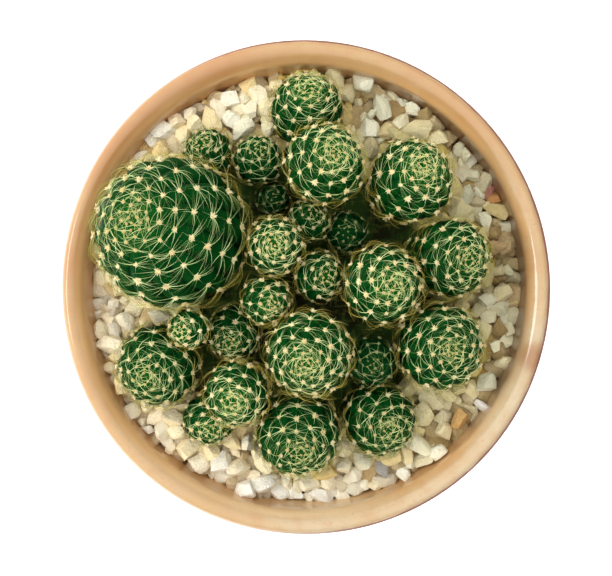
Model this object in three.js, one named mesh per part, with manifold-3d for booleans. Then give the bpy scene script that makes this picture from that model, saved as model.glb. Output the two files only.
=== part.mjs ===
// A clump of Echinopsis calochlora, a small clustering cactus, growing in a round glazed bowl
// that is filled with soil and topped with cream stone chips.
//
// Twenty-four ribbed heads crowd together. The oldest and largest one leans out over the rim, tall
// ones stand in the middle, and young ones are squeezed in between them, low down. Every head
// narrows to a neck that is rooted in a plain hole in the soil. Spines stand on its ribs.
//
// Units are millimetres, +Z is up, and the origin is the middle of the bowl's foot.

import * as THREE from "three";
import { mergeVertices } from "three/addons/utils/BufferGeometryUtils.js";
import Module from "manifold-3d";

const wasm = await Module();
wasm.setup();

// The bowl

const RIM_RADIUS = 100; // outermost edge of the lip
const RIM_HEIGHT = 80; // top of the lip
const LIP_HALF_WIDTH = 5; // the lip is an oval bead
const LIP_HALF_HEIGHT = 4.6;
const LIP_FIRST_ANGLE = -6; // degrees round the bead, from its outside over the top
const LIP_LAST_ANGLE = 186;
const LIP_ANGLE_STEP = 32;
const WALL_TOP = [99, 72]; // [radius, height] where the outside meets the lip
const WALL_BULGE = [88, 26]; // pulls the outside outward between foot and lip
const FOOT_RADIUS = 60; // outside of the foot ring
const FOOT_WIDTH = 9;
const FOOT_HEIGHT = 4; // the floor's underside stands this far off the table
const FOOT_BEVEL = 1;
const FLOOR_TOP = 10; // inside of the bowl's floor
const FLOOR_RADIUS = 50;
const INSIDE_TOP = [90.2, 74.3]; // where the inside meets the lip
const INSIDE_BULGE = [82, 33];
const POT_SIDES = 32;
const WALL_STEPS = 4;

// Soil, and the bed that the stone chips lie in

const CLEAR = 0.4; // gap between pieces that touch
const SEAT = 0.3; // gap under a piece that lies on another
const SOIL_TOP = 62;
const BED_BOTTOM = SOIL_TOP + SEAT;
const BED_TOP = 66;
const BED_INNER_RADIUS = 38; // bare soil lies between the crowded necks
const CHIP_CEILING = 78; // higher than any chip

const CHIP_PITCH = 9.2; // distance between neighbouring chips
const CHIP_PLACES = 330; // places on the spiral, from the middle out to the wall
const CHIP_SIZES = [6.6, 4.6]; // half-widths, the smaller one where the larger doesn't fit
const CHIP_SIZE_SPREAD = 1.2;
const CHIP_SHIFT = 1.6; // how far a chip lies off its place
const CHIP_LIFT = 0.4; // its middle lies this far above the bed, and up to CHIP_LIFT_SPREAD more
const CHIP_LIFT_SPREAD = 2;
const CHIP_TILT = 0.9; // radians
const CHIP_WIDTH = 0.9; // shares of a chip's half-width
const CHIP_WIDTH_SPREAD = 0.25;
const CHIP_HEIGHT = 0.6;
const CHIP_HEIGHT_SPREAD = 0.33;
const CHIP_NARROWING = 0.2;
const CHIP_WALL_SHARE = 0.4; // a chip may be cut by the wall this far from its middle

// Heads

const NECK_TOP = 67.4; // a head's neck is a plain stub from here down into the soil
const NECK_BOTTOM = 54;
const NECK_SIDES = 6;
const MEDIUM_RADIUS = 12.5; // heads from this radius up have more rows
const BIG_RADIUS = 20;
const RIB_DEPTH = 0.11; // groove depth as a share of a head's radius
const CROWN_DIP = 0.03; // how far the growing point is sunk
const CROWN_ROWS = { small: 3, medium: 4, big: 6 };
const FIRST_ROW = 0.55; // how far down the first row lies, as a share of a row
const WAIST = { small: 0.5, medium: 0.45, big: 0.45 }; // station of the ring below the widest one
const HANDLE_BY_DROP = 0.35; // how far a head follows its own axis before it bends to its root
const HANDLE_BY_RADIUS = 0.7;
const SLENDER = 0.1; // a head high above the soil narrows to its neck sooner
const STOUT = 0.9;

// Spines

const SPINE_ROWS = { small: 3, medium: 4, big: 5 };
const SPINE_FIRST_ROW = 0.35;
const SPINE_STAGGER = 0.5; // neighbouring ribs carry their spines half a row apart
const SPINE_REACH = 1.12; // rows run this far down, a little below the widest part
const SPINE_SKIP = 3; // smaller heads leave out every third one
const SPINE_LENGTH = 5.5; // plus SPINE_LENGTH_SHARE of the head's radius
const SPINE_LENGTH_SHARE = 0.24;
const SPINE_LENGTH_LEAST = 0.85;
const SPINE_LENGTH_SPREAD = 0.3;
const SPINE_LIFT = 0.62; // outward share of a spine's direction
const SPINE_LIFT_SPREAD = 0.2;
const SPINE_HALF_WIDTH = 0.42;
const SPINE_SINK = 1.3;
const SPINE_FOOT = 0.97; // the foot lies this share of the radius out
const SPINE_GAP = 0.9; // free space round a spine
const SPINE_TURNS = 8; // directions tried until one is free
const SPINE_STEPS = 8;
const SPINE_ABOVE_RIM = 1.5;
const SPINE_ABOVE_BED = 6;

// The heads. x, y, z is the middle of the widest part, radius is measured over the ribs, and lean
// is the sideways part of the unit vector along the head. root is where the neck enters the soil.

const HEADS = [
  { x: -54.5, y: 22, z: 95, radius: 30, lean: [-0.43, 0.15], root: [-50, 20.5], neck: 13, ribs: 14 },
  { x: 0.5, y: 73, z: 77, radius: 14.5, lean: [0.04, 0.48], root: [0, 67], neck: 7, ribs: 12 },
  { x: 7.5, y: 49, z: 99.5, radius: 16, lean: [0.27, 0.2], root: [5, 45], neck: 6.5, ribs: 12 },
  { x: 42.5, y: 43, z: 88, radius: 17, lean: [0.26, 0.26], root: [39, 40], neck: 8, ribs: 12 },
  { x: 58.5, y: 12, z: 85, radius: 16, lean: [0.42, -0.07], root: [53, 12], neck: 7.5, ribs: 12 },
  { x: 30.5, y: 1, z: 99, radius: 15.5, lean: [0.23, 0], root: [29, 2], neck: 7.5, ribs: 12 },
  { x: 54.5, y: -24, z: 86, radius: 17.5, lean: [0.23, -0.05], root: [51, -23], neck: 8, ribs: 12 },
  { x: 1.5, y: -26, z: 100, radius: 17, lean: [-0.09, -0.25], root: [2, -24], neck: 8.5, ribs: 13 },
  { x: 30, y: -54, z: 75.5, radius: 15, lean: [0.27, -0.22], root: [28, -52], neck: 8, ribs: 12 },
  { x: -3, y: -59.5, z: 83, radius: 17, lean: [0.07, -0.38], root: [-3, -55], neck: 8, ribs: 12 },
  { x: -27.5, y: -42.5, z: 92, radius: 13, lean: [-0.06, -0.24], root: [-23, -39], neck: 6, ribs: 11 },
  { x: -60, y: -31.5, z: 81, radius: 16.5, lean: [-0.22, -0.26], root: [-58, -30], neck: 8, ribs: 12 },
  { x: -46.5, y: -16, z: 97, radius: 8, lean: [-0.42, -0.2], root: [-45, -16.5], neck: 3, ribs: 9 },
  { x: -29, y: -18.5, z: 79, radius: 11, lean: [-0.15, -0.4], root: [-28.5, -16.5], neck: 5, ribs: 10 },
  { x: -16, y: -5, z: 93, radius: 10, lean: [0.27, -0.23], root: [-15.5, -3], neck: 4.5, ribs: 10 },
  { x: -12.5, y: 16.5, z: 98, radius: 11.5, lean: [0.02, 0.07], root: [-12.5, 16], neck: 5, ribs: 11 },
  { x: 5, y: 4.5, z: 88, radius: 10, lean: [0.34, 0], root: [3.5, 4.5], neck: 5, ribs: 10 },
  { x: 1, y: 26.5, z: 84, radius: 8.5, lean: [0.27, 0.36], root: [0.5, 25], neck: 4, ribs: 9 },
  { x: 16.5, y: 22.5, z: 76, radius: 8.5, lean: [-0.05, -0.05], root: [16.5, 22.5], neck: 4.5, ribs: 9 },
  { x: -13.5, y: 36.5, z: 71.5, radius: 7, lean: [0.08, 0], root: [-13.5, 36.5], neck: 4, ribs: 9 },
  { x: -19.5, y: 52, z: 79, radius: 10, lean: [0.04, 0.35], root: [-19.5, 50.5], neck: 5, ribs: 10 },
  { x: -40, y: 54.5, z: 74, radius: 10.5, lean: [-0.2, 0.36], root: [-39.5, 53.5], neck: 5, ribs: 10 },
  { x: -39.5, y: -53.5, z: 72.5, radius: 11, lean: [0.1, -0.4], root: [-39, -53], neck: 5.5, ribs: 10 },
  { x: 26.5, y: -30, z: 86.5, radius: 10, lean: [-0.04, 0], root: [26.5, -29.5], neck: 5, ribs: 10 },
];

const GREEN = { color: 0x0f5a38, roughness: 0.55 };
const GLAZE = { color: 0xd9ab78, roughness: 0.25 };
const CREAM = { color: 0xe6dcc0, roughness: 0.85 };
const EARTH = { color: 0x3a2c20, roughness: 0.95 };

// Numbers and draws

const TURN = 2 * Math.PI;
const GOLDEN_TURN = Math.PI * (3 - Math.sqrt(5));
const SPIRAL_STEP = 0.53; // makes the places on a golden spiral lie one pitch apart
const UP = new THREE.Vector3(0, 0, 1);

const mix = (a, b, share) => a + (b - a) * share;

// A repeatable draw from 0 to 1 for item number i and purpose number k.
function draw(i, k) {
  const wave = Math.sin(i * 12.9898 + k * 78.233 + 1.7) * 43758.5453;
  return wave - Math.floor(wave);
}

// A repeatable draw from -0.5 to 0.5.
const offset = (i, k) => draw(i, k) - 0.5;

// Solids

function solidFrom(geometry) {
  const bare = geometry.clone();
  bare.deleteAttribute("normal");
  bare.deleteAttribute("uv");
  const merged = mergeVertices(bare);
  return new wasm.Manifold(
    new wasm.Mesh({
      numProp: 3,
      vertProperties: merged.attributes.position.array,
      triVerts: new Uint32Array(merged.index.array),
    }),
  );
}

function geometryFrom(solid) {
  const { vertProperties, triVerts } = solid.getMesh();
  const geometry = new THREE.BufferGeometry();
  geometry.setAttribute("position", new THREE.BufferAttribute(new Float32Array(vertProperties), 3));
  geometry.setIndex(new THREE.BufferAttribute(new Uint32Array(triVerts), 1));
  geometry.computeVertexNormals();
  return geometry;
}

function solidFromFaces(points, faces) {
  const geometry = new THREE.BufferGeometry().setFromPoints(points);
  geometry.setIndex(faces.flat());
  return solidFrom(geometry);
}

// Drops loose scraps that touch nothing.
function largestBody(solid) {
  return solid.decompose().sort((a, b) => b.volume() - a.volume())[0];
}

// A solid turned round the Z axis from an outline of [radius, height] points.
function turned(outline) {
  const points = outline.map(([radius, height]) => new THREE.Vector2(radius, height));
  const geometry = new THREE.LatheGeometry(points, POT_SIDES);
  geometry.rotateX(Math.PI / 2); // the lathe turns round Y
  return solidFrom(geometry);
}

// Triangles between two closed rings of points that start at the same angle.
function stitch(start, count, nextStart, nextCount) {
  const faces = [];
  let i = 0;
  let j = 0;
  while (i < count || j < nextCount) {
    const here = start + (i % count);
    const there = nextStart + (j % nextCount);
    const stepHere = i < count && (i + 1) / count <= (j + 1) / nextCount;
    if (j === nextCount || stepHere) {
      faces.push([here, there, start + ((i + 1) % count)]);
      i += 1;
    } else {
      faces.push([here, there, nextStart + ((j + 1) % nextCount)]);
      j += 1;
    }
  }
  return faces;
}

// A block between an upper and a lower ring of corners.
function block(points, corners) {
  const faces = stitch(0, corners, corners, corners);
  for (let k = 1; k < corners - 1; k += 1) {
    faces.push([0, k, k + 1]);
    faces.push([corners, corners + k + 1, corners + k]);
  }
  return solidFromFaces(points, faces);
}

// The bowl: a flaring wall on a foot ring, with an oval lip

function curvePoints(from, control, to) {
  const curve = new THREE.QuadraticBezierCurve(
    new THREE.Vector2(...from),
    new THREE.Vector2(...control),
    new THREE.Vector2(...to),
  );
  return curve.getPoints(WALL_STEPS).map((p) => [p.x, p.y]);
}

const insideWall = curvePoints(INSIDE_TOP, INSIDE_BULGE, [FLOOR_RADIUS, FLOOR_TOP]);

function lipPoints() {
  const points = [];
  for (let degrees = LIP_FIRST_ANGLE; degrees <= LIP_LAST_ANGLE; degrees += LIP_ANGLE_STEP) {
    const angle = THREE.MathUtils.degToRad(degrees);
    points.push([
      RIM_RADIUS - LIP_HALF_WIDTH * (1 - Math.cos(angle)),
      RIM_HEIGHT - LIP_HALF_HEIGHT * (1 - Math.sin(angle)),
    ]);
  }
  return points;
}

function pot() {
  const ringInside = FOOT_RADIUS - FOOT_WIDTH;
  return turned([
    [0, FOOT_HEIGHT],
    [ringInside - FOOT_BEVEL, FOOT_HEIGHT],
    [ringInside, 0],
    [FOOT_RADIUS - FOOT_BEVEL, 0],
    ...curvePoints([FOOT_RADIUS, FOOT_HEIGHT], WALL_BULGE, WALL_TOP),
    ...lipPoints(),
    ...insideWall,
    [0, FLOOR_TOP],
  ]);
}

// Radius of the bowl's inside at a height.
function insideRadius(height) {
  const low = Math.max(
    1,
    insideWall.findIndex((point) => point[1] <= height),
  );
  const [topRadius, topHeight] = insideWall[low - 1];
  const [lowRadius, lowHeight] = insideWall[low];
  return mix(lowRadius, topRadius, (height - lowHeight) / (topHeight - lowHeight));
}

// A head's shape. Stations from -1 to 0 run from its crown down to the widest part, and from
// 0 to 1 on down to the top of the neck.

function sizeName(head) {
  if (head.radius > BIG_RADIUS) return "big";
  return head.radius > MEDIUM_RADIUS ? "medium" : "small";
}

function middleOf(head) {
  return new THREE.Vector3(head.x, head.y, head.z);
}

function axisOf(head) {
  const [a, b] = head.lean;
  return new THREE.Vector3(a, b, Math.sqrt(1 - a * a - b * b));
}

function crownRing(head, station) {
  const polar = ((station + 1) * Math.PI) / 2;
  const axis = axisOf(head);
  const middle = middleOf(head).addScaledVector(axis, head.radius * Math.cos(polar));
  return { middle, axis, radius: head.radius * Math.sin(polar) };
}

function stemRing(head, station) {
  const axis = axisOf(head);
  const middle = middleOf(head);
  const root = new THREE.Vector3(...head.root, NECK_TOP);
  const drop = head.z - NECK_TOP;
  const handle = Math.min(HANDLE_BY_DROP * drop, HANDLE_BY_RADIUS * head.radius);
  const path = new THREE.CubicBezierCurve3(
    middle,
    middle.clone().addScaledVector(axis, -handle),
    root.clone().addScaledVector(UP, HANDLE_BY_DROP * drop),
    root,
  );
  const fullness = Math.min(1, SLENDER + (STOUT * head.radius) / drop);
  const width = fullness * Math.sqrt(1 - station * station);
  return {
    middle: path.getPoint(station),
    axis: axis.clone().lerp(UP, station).normalize(),
    radius: mix(head.neck, head.radius, width),
  };
}

function ringAt(head, station) {
  return station <= 0 ? crownRing(head, station) : stemRing(head, station);
}

// Two directions across an axis, the first of them as near to +X as it can be.
function acrossAxes(axis) {
  const first = new THREE.Vector3(1, 0, 0).addScaledVector(axis, -axis.x).normalize();
  return [first, new THREE.Vector3().crossVectors(axis, first)];
}

function pointOnRing(ring, angle, share) {
  const [first, second] = acrossAxes(ring.axis);
  return ring.middle
    .clone()
    .addScaledVector(first, ring.radius * share * Math.cos(angle))
    .addScaledVector(second, ring.radius * share * Math.sin(angle));
}

// The corners of a level ring round the upright neck.
function neckRing(head, radius, height) {
  return Array.from({ length: NECK_SIDES }, (_, k) => {
    const angle = (k * TURN) / NECK_SIDES;
    const x = head.root[0] + radius * Math.cos(angle);
    const y = head.root[1] + radius * Math.sin(angle);
    return new THREE.Vector3(x, y, height);
  });
}

function stationsOf(head) {
  const rows = CROWN_ROWS[sizeName(head)];
  const stations = [];
  for (let row = 0; row < rows; row += 1) {
    stations.push((row + FIRST_ROW) / (rows - 1 + FIRST_ROW) - 1);
  }
  return [...stations, WAIST[sizeName(head)]];
}

// Ribs and grooves take turns round every ring.
function headBody(head) {
  const crown = middleOf(head).addScaledVector(axisOf(head), head.radius * (1 - CROWN_DIP));
  const around = head.ribs * 2;
  const points = [crown];
  const faces = [];
  for (let k = 0; k < around; k += 1) {
    faces.push([0, 1 + k, 1 + ((k + 1) % around)]);
  }
  stationsOf(head).forEach((station, row) => {
    const ring = ringAt(head, station);
    const start = points.length;
    for (let k = 0; k < around; k += 1) {
      const share = k % 2 ? 1 - RIB_DEPTH : 1;
      points.push(pointOnRing(ring, (k * TURN) / around, share));
    }
    if (row > 0) faces.push(...stitch(start - around, around, start, around));
  });
  const neckStart = points.length;
  const neckEnd = neckStart + NECK_SIDES;
  points.push(...neckRing(head, head.neck, NECK_TOP));
  points.push(...neckRing(head, head.neck, NECK_BOTTOM));
  faces.push(...stitch(neckStart - around, around, neckStart, NECK_SIDES));
  faces.push(...stitch(neckStart, NECK_SIDES, neckEnd, NECK_SIDES));
  for (let k = 1; k < NECK_SIDES - 1; k += 1) {
    faces.push([neckEnd, neckEnd + k + 1, neckEnd + k]);
  }
  return solidFromFaces(points, faces);
}

// Balls that fill each head, to keep spines and chips clear of it.
const BALL_STATIONS = [0, 0.15, 0.3, 0.45, 0.6, 0.8];
const balls = HEADS.map((head) => BALL_STATIONS.map((station) => ringAt(head, station)));

// Spines: three-sided needles on the ribs, each turned to where nothing is in its way

const placedSpines = [];

function distanceBetween(spine, other) {
  const otherLine = new THREE.Line3(other.foot, other.tip);
  const nearest = new THREE.Vector3();
  let distance = Infinity;
  for (let step = 0; step <= SPINE_STEPS; step += 1) {
    const point = spine.foot.clone().lerp(spine.tip, step / SPINE_STEPS);
    otherLine.closestPointToPoint(point, true, nearest);
    distance = Math.min(distance, point.distanceTo(nearest));
  }
  return distance;
}

function clearOfHeads(spine) {
  const line = new THREE.Line3(spine.foot, spine.tip);
  const nearest = new THREE.Vector3();
  return HEADS.every((head, n) => {
    if (n === spine.owner) return true;
    return balls[n].every(({ middle, radius }) => {
      line.closestPointToPoint(middle, true, nearest);
      return nearest.distanceTo(middle) > radius + SPINE_GAP;
    });
  });
}

function clearOfPot({ tip }) {
  const reach = Math.hypot(tip.x, tip.y);
  const rimInside = RIM_RADIUS - 2 * LIP_HALF_WIDTH;
  if (reach > rimInside - SPINE_ABOVE_RIM && tip.z < RIM_HEIGHT + SPINE_ABOVE_RIM) return false;
  return reach < RIM_RADIUS - 1 && tip.z > BED_TOP + SPINE_ABOVE_BED;
}

function clearOfSpines(spine) {
  return placedSpines.every((other) => {
    const gap = other.owner === spine.owner ? SPINE_GAP / 2 : SPINE_GAP;
    return distanceBetween(spine, other) > gap;
  });
}

// Where spines stand: on every rib, half a row apart on neighbouring ribs.
function spinePlaces(head) {
  const rows = SPINE_ROWS[sizeName(head)];
  const places = [];
  for (let rib = 0; rib < head.ribs; rib += 1) {
    for (let row = 0; row < rows; row += 1) {
      const share = (row + SPINE_FIRST_ROW + SPINE_STAGGER * (rib % 2)) / rows;
      places.push({ station: share * SPINE_REACH - 1, angle: (rib * TURN) / head.ribs });
    }
  }
  if (sizeName(head) === "big") return places;
  return places.filter((place, n) => (n + 1) % SPINE_SKIP !== 0);
}

function needle({ foot, tip }, outward) {
  const direction = tip.clone().sub(foot).normalize();
  const root = foot.clone().addScaledVector(outward, -SPINE_SINK);
  const ring = { middle: root, axis: direction, radius: SPINE_HALF_WIDTH };
  const corners = [0, 1, 2].map((k) => pointOnRing(ring, (k * TURN) / 3, 1));
  return solidFromFaces([tip, ...corners], [
    [0, 1, 2],
    [0, 2, 3],
    [0, 3, 1],
    [1, 3, 2],
  ]);
}

function spinesOf(head, owner) {
  const usual = SPINE_LENGTH + SPINE_LENGTH_SHARE * head.radius;
  const needles = [];
  spinePlaces(head).forEach(({ station, angle }, n) => {
    const ring = ringAt(head, station);
    const foot = pointOnRing(ring, angle, SPINE_FOOT);
    const outward = foot.clone().sub(middleOf(head)).normalize();
    const across = new THREE.Vector3().crossVectors(outward, ring.axis).normalize();
    const along = new THREE.Vector3().crossVectors(outward, across);
    const lift = SPINE_LIFT + SPINE_LIFT_SPREAD * draw(n, owner + HEADS.length);
    const length = usual * (SPINE_LENGTH_LEAST + SPINE_LENGTH_SPREAD * draw(n, owner));
    for (let attempt = 0; attempt < SPINE_TURNS; attempt += 1) {
      const turn = n * GOLDEN_TURN + (attempt * TURN) / SPINE_TURNS;
      const direction = outward
        .clone()
        .multiplyScalar(lift)
        .addScaledVector(across, Math.cos(turn))
        .addScaledVector(along, Math.sin(turn))
        .normalize();
      const spine = { owner, foot, tip: foot.clone().addScaledVector(direction, length) };
      if (clearOfHeads(spine) && clearOfPot(spine) && clearOfSpines(spine)) {
        placedSpines.push(spine);
        needles.push(needle(spine, outward));
        break;
      }
    }
  });
  return needles;
}

function spinyHead(head, owner) {
  return wasm.Manifold.union([headBody(head), ...spinesOf(head, owner)]);
}

// Soil fills the bowl, with a plain hole for every neck

function neckHoles(low, high) {
  const holes = HEADS.map((head) => {
    const radius = head.neck + CLEAR;
    return block([...neckRing(head, radius, high), ...neckRing(head, radius, low)], NECK_SIDES);
  });
  return wasm.Manifold.union(holes);
}

function soil() {
  const side = insideWall.filter(([, height]) => height > FLOOR_TOP && height < SOIL_TOP);
  const outline = [
    [0, FLOOR_TOP + SEAT],
    [FLOOR_RADIUS - 1, FLOOR_TOP + SEAT],
    ...side.reverse().map(([radius, height]) => [radius - CLEAR, height]),
    [insideRadius(SOIL_TOP) - CLEAR, SOIL_TOP],
    [0, SOIL_TOP],
  ];
  return turned(outline).subtract(neckHoles(NECK_BOTTOM - CLEAR, SOIL_TOP + 1));
}

// Stone chips: three- or four-cornered blocks with knocked-about corners, half sunk in a bed

function chipPlace(i) {
  const distance = CHIP_PITCH * SPIRAL_STEP * Math.sqrt(i);
  const angle = i * GOLDEN_TURN;
  return new THREE.Vector3(
    distance * Math.cos(angle) + CHIP_SHIFT * offset(i, 1),
    distance * Math.sin(angle) + CHIP_SHIFT * offset(i, 2),
    BED_TOP + CHIP_LIFT + CHIP_LIFT_SPREAD * draw(i, 3),
  );
}

function chipFits(place, size) {
  const reach = Math.hypot(place.x, place.y);
  if (reach > insideRadius(place.z) - size * CHIP_WALL_SHARE) return false;
  if (reach < BED_INNER_RADIUS + size) return false;
  return HEADS.every((head, n) => {
    const fromHead = Math.hypot(place.x - head.x, place.y - head.y);
    const fromNeck = Math.hypot(place.x - head.root[0], place.y - head.root[1]);
    if (fromHead < head.radius - size || fromNeck < head.neck + size + CLEAR) return false;
    return balls[n].every(({ middle, radius }) => {
      return middle.distanceTo(place) > radius + size + CLEAR;
    });
  });
}

function chip(i, place, size) {
  const corners = 3 + (i % 2);
  const turn = new THREE.Euler(
    CHIP_TILT * offset(i, 4),
    CHIP_TILT * offset(i, 5),
    TURN * draw(i, 6),
  );
  const narrow = 1 - CHIP_NARROWING * draw(i, 7);
  const points = [];
  [1, -1].forEach((side) => {
    for (let k = 0; k < corners; k += 1) {
      const purpose = 10 * (2 + side) + k;
      const angle = ((k + offset(i, purpose) / 2) * TURN) / corners;
      const across = CHIP_WIDTH - CHIP_WIDTH_SPREAD * draw(i, purpose + 100);
      const height = CHIP_HEIGHT - CHIP_HEIGHT_SPREAD * draw(i, purpose + 200);
      const corner = new THREE.Vector3(
        narrow * across * Math.cos(angle),
        across * Math.sin(angle),
        side * height,
      );
      points.push(corner.applyEuler(turn).multiplyScalar(size).add(place));
    }
  });
  return block(points, corners);
}

function gravel() {
  const edge = (height) => insideRadius(height) - CLEAR;
  const bed = turned([
    [BED_INNER_RADIUS, BED_BOTTOM],
    [edge(BED_BOTTOM), BED_BOTTOM],
    [edge(BED_TOP), BED_TOP],
    [BED_INNER_RADIUS, BED_TOP],
    [BED_INNER_RADIUS, BED_BOTTOM],
  ]);
  const insideOfBowl = turned([
    [0, BED_BOTTOM],
    [edge(BED_BOTTOM), BED_BOTTOM],
    [edge(CHIP_CEILING), CHIP_CEILING],
    [0, CHIP_CEILING],
  ]);
  const chips = [];
  for (let i = 0; i < CHIP_PLACES; i += 1) {
    const place = chipPlace(i);
    const sizes = CHIP_SIZES.map((size) => size - CHIP_SIZE_SPREAD * draw(i, 8));
    const size = sizes.find((candidate) => chipFits(place, candidate));
    if (size) chips.push(chip(i, place, size));
  }
  const holed = bed.subtract(neckHoles(BED_BOTTOM - 1, BED_TOP + 1));
  return largestBody(wasm.Manifold.union([holed, ...chips]).intersect(insideOfBowl));
}

// The plant in its pot

function piece(name, solid, look) {
  const material = new THREE.MeshStandardMaterial({ ...look, metalness: 0 });
  const mesh = new THREE.Mesh(geometryFrom(solid), material);
  mesh.name = name;
  return mesh;
}

const part = new THREE.Group();
part.add(piece("pot", pot(), GLAZE));
part.add(piece("soil", soil(), EARTH));
part.add(piece("gravel", gravel(), CREAM));
HEADS.forEach((head, n) => {
  const name = `head_${String(n + 1).padStart(2, "0")}`;
  part.add(piece(name, spinyHead(head, n), GREEN));
});

export default part;
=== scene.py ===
# %% [markdown]
# A clump of small cacti in a glazed bowl
#
# The object is a pot plant seen from straight above: twenty-four green, ribbed, spiny heads of
# Echinopsis calochlora crowd together in a round tan bowl, on a bed of cream stone chips. This
# lesson dresses a plain solid model of it. The solids are already the right size and in the right
# place, so every piece below is made where its solid is and then takes over from it.
#
# Everything is in metres. The bowl stands on z = 0 with its middle at the origin, and +Y is
# towards the top of the photograph.

# %% Load the solid model
import math

import bmesh
import bpy
import numpy as np
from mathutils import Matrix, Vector, noise


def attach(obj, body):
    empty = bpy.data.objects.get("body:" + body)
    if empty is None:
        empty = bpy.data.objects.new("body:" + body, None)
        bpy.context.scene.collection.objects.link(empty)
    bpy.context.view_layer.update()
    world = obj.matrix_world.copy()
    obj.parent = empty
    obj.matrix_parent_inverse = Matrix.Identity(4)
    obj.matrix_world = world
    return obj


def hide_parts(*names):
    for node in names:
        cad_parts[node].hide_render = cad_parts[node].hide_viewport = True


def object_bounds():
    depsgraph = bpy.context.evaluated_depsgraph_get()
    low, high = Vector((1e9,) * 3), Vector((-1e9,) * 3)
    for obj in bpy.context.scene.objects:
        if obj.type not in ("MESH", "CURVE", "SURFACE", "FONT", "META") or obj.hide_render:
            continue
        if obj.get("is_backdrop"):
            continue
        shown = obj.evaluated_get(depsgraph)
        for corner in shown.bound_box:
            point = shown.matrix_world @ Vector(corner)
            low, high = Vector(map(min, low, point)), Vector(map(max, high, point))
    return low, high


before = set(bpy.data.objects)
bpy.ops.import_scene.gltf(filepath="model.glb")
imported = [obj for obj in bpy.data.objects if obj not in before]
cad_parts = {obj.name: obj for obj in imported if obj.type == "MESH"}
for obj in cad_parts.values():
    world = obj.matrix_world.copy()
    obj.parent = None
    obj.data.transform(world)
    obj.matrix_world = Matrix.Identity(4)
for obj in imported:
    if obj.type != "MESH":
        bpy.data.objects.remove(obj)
solid_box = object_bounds()
bpy.ops.object.select_all(action="DESELECT")
MM = 0.001
print("solid model of", len(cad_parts), "nodes, from and to in mm:",
      [[round(side * 1000, 1) for side in corner] for corner in solid_box])

# %% [markdown]
# The camera comes first, because everything else is judged through it. The photograph looks
# straight down: the rim is a circle, and neither the outside of the bowl nor its foot can be seen.
# A camera with no rotation looks down the Z axis with +Y up in the picture. It hangs 0.98 m up,
# far enough away that the tall heads in the middle hide little of their neighbours, and its lens
# makes the 200 mm rim as wide in the picture as it is in the photograph. It stands a fraction of a
# millimetre off the middle, as the photographed bowl does in its frame.

# %% Camera
CAMERA_PLACE = (0.00012, -0.00024, 0.98)
LENS, SENSOR_WIDTH = 129.97, 36

bpy.ops.object.camera_add(location=CAMERA_PLACE, rotation=(0, 0, 0))
camera = bpy.context.object
camera.name = "camera"
camera.data.sensor_width = SENSOR_WIDTH
camera.data.lens = LENS
camera.data.clip_start = 0.05
bpy.context.scene.camera = camera
print("camera at", CAMERA_PLACE, "m, lens", LENS, "mm")

# %% [markdown]
# The light is a plain photographer's studio. A pale surround glows from every side, most strongly
# from high up towards the upper left of the picture, so that shadows are soft and filled. One soft
# panel, about half a metre square, stands at the left. It models the heads and the stones, and its
# reflection in the glaze is the bright line along the lip, left and right. A bare lamp would give
# hard little highlights, which the photograph doesn't have. Colours are shown as they are, by the
# Standard view transform, so a stone painted cream comes out cream.

# %% Studio light
BRIGHTEST_WAY = Vector((-0.38, 0.12, 0.91)).normalized()
DIM, BRIGHT = 0.45, 1.8

scene = bpy.context.scene
scene.view_settings.view_transform = "Standard"
scene.view_settings.look = "None"
air = scene.world = bpy.data.worlds.new("studio_air")
air.use_nodes = True
air_nodes, air_links = air.node_tree.nodes, air.node_tree.links
towards = air_nodes.new("ShaderNodeTexCoord").outputs["Generated"]
facing = air_nodes.new("ShaderNodeVectorMath")
facing.operation = "DOT_PRODUCT"
facing.inputs[1].default_value = BRIGHTEST_WAY
glow = air_nodes.new("ShaderNodeMapRange")
glow.interpolation_type = "SMOOTHSTEP"
for name, value in (("From Min", 0), ("From Max", 1), ("To Min", DIM), ("To Max", BRIGHT)):
    glow.inputs[name].default_value = value
background = air_nodes["Background"]
background.inputs["Color"].default_value = (1, 1, 1, 1)
air_links.new(towards, facing.inputs[0])
air_links.new(facing.outputs["Value"], glow.inputs["Value"])
air_links.new(glow.outputs["Result"], background.inputs["Strength"])


def soft_panel(name, place, size, watts, aim=(0, 0, 0.05)):
    """A rectangular lamp at a place in metres, turned to shine at aim."""
    bpy.ops.object.light_add(type="AREA", location=place)
    lamp = bpy.context.object
    lamp.name = name
    lamp.rotation_euler = (Vector(aim) - Vector(place)).to_track_quat("-Z", "Y").to_euler()
    lamp.data.shape = "RECTANGLE"
    lamp.data.size, lamp.data.size_y = size
    lamp.data.energy = watts
    print(name, "of", size, "m at", place, "m")


soft_panel("panel_left", (-0.97, 0.04, 0.95), (0.48, 0.45), 5.4)

# %% [markdown]
# Materials are wired in Python. Two small classes keep that readable. A Wire stands for one output
# socket of a node, and adding or multiplying wires adds the Math node that does it. A Finish is one
# material while it is being wired: node() adds a node of any type, with its settings set before its
# inputs, because some settings change which inputs it has, and layered() lays coats of colour over
# each other.

# %% Tools for wiring materials
class Wire:
    """One output socket. Arithmetic on wires adds Math nodes."""

    def __init__(self, finish, socket):
        self.finish, self.socket = finish, socket

    def maths(self, operation, a, b):
        return self.finish.node("ShaderNodeMath", {"operation": operation}, {0: a, 1: b})

    def __add__(self, other):
        return self.maths("ADD", self, other)

    def __sub__(self, other):
        return self.maths("SUBTRACT", self, other)

    def __rsub__(self, other):
        return self.maths("SUBTRACT", other, self)

    def __mul__(self, other):
        return self.maths("MULTIPLY", self, other)

    def __pow__(self, other):
        return self.maths("POWER", self, other)

    __radd__, __rmul__ = __add__, __mul__

    def between(self, low, high):
        """0 where the value is low, 1 where it is high, and smooth in between."""
        inputs = {"Value": self, "From Min": low, "From Max": high}
        return self.finish.node("ShaderNodeMapRange", {"interpolation_type": "SMOOTHSTEP"}, inputs)


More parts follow.
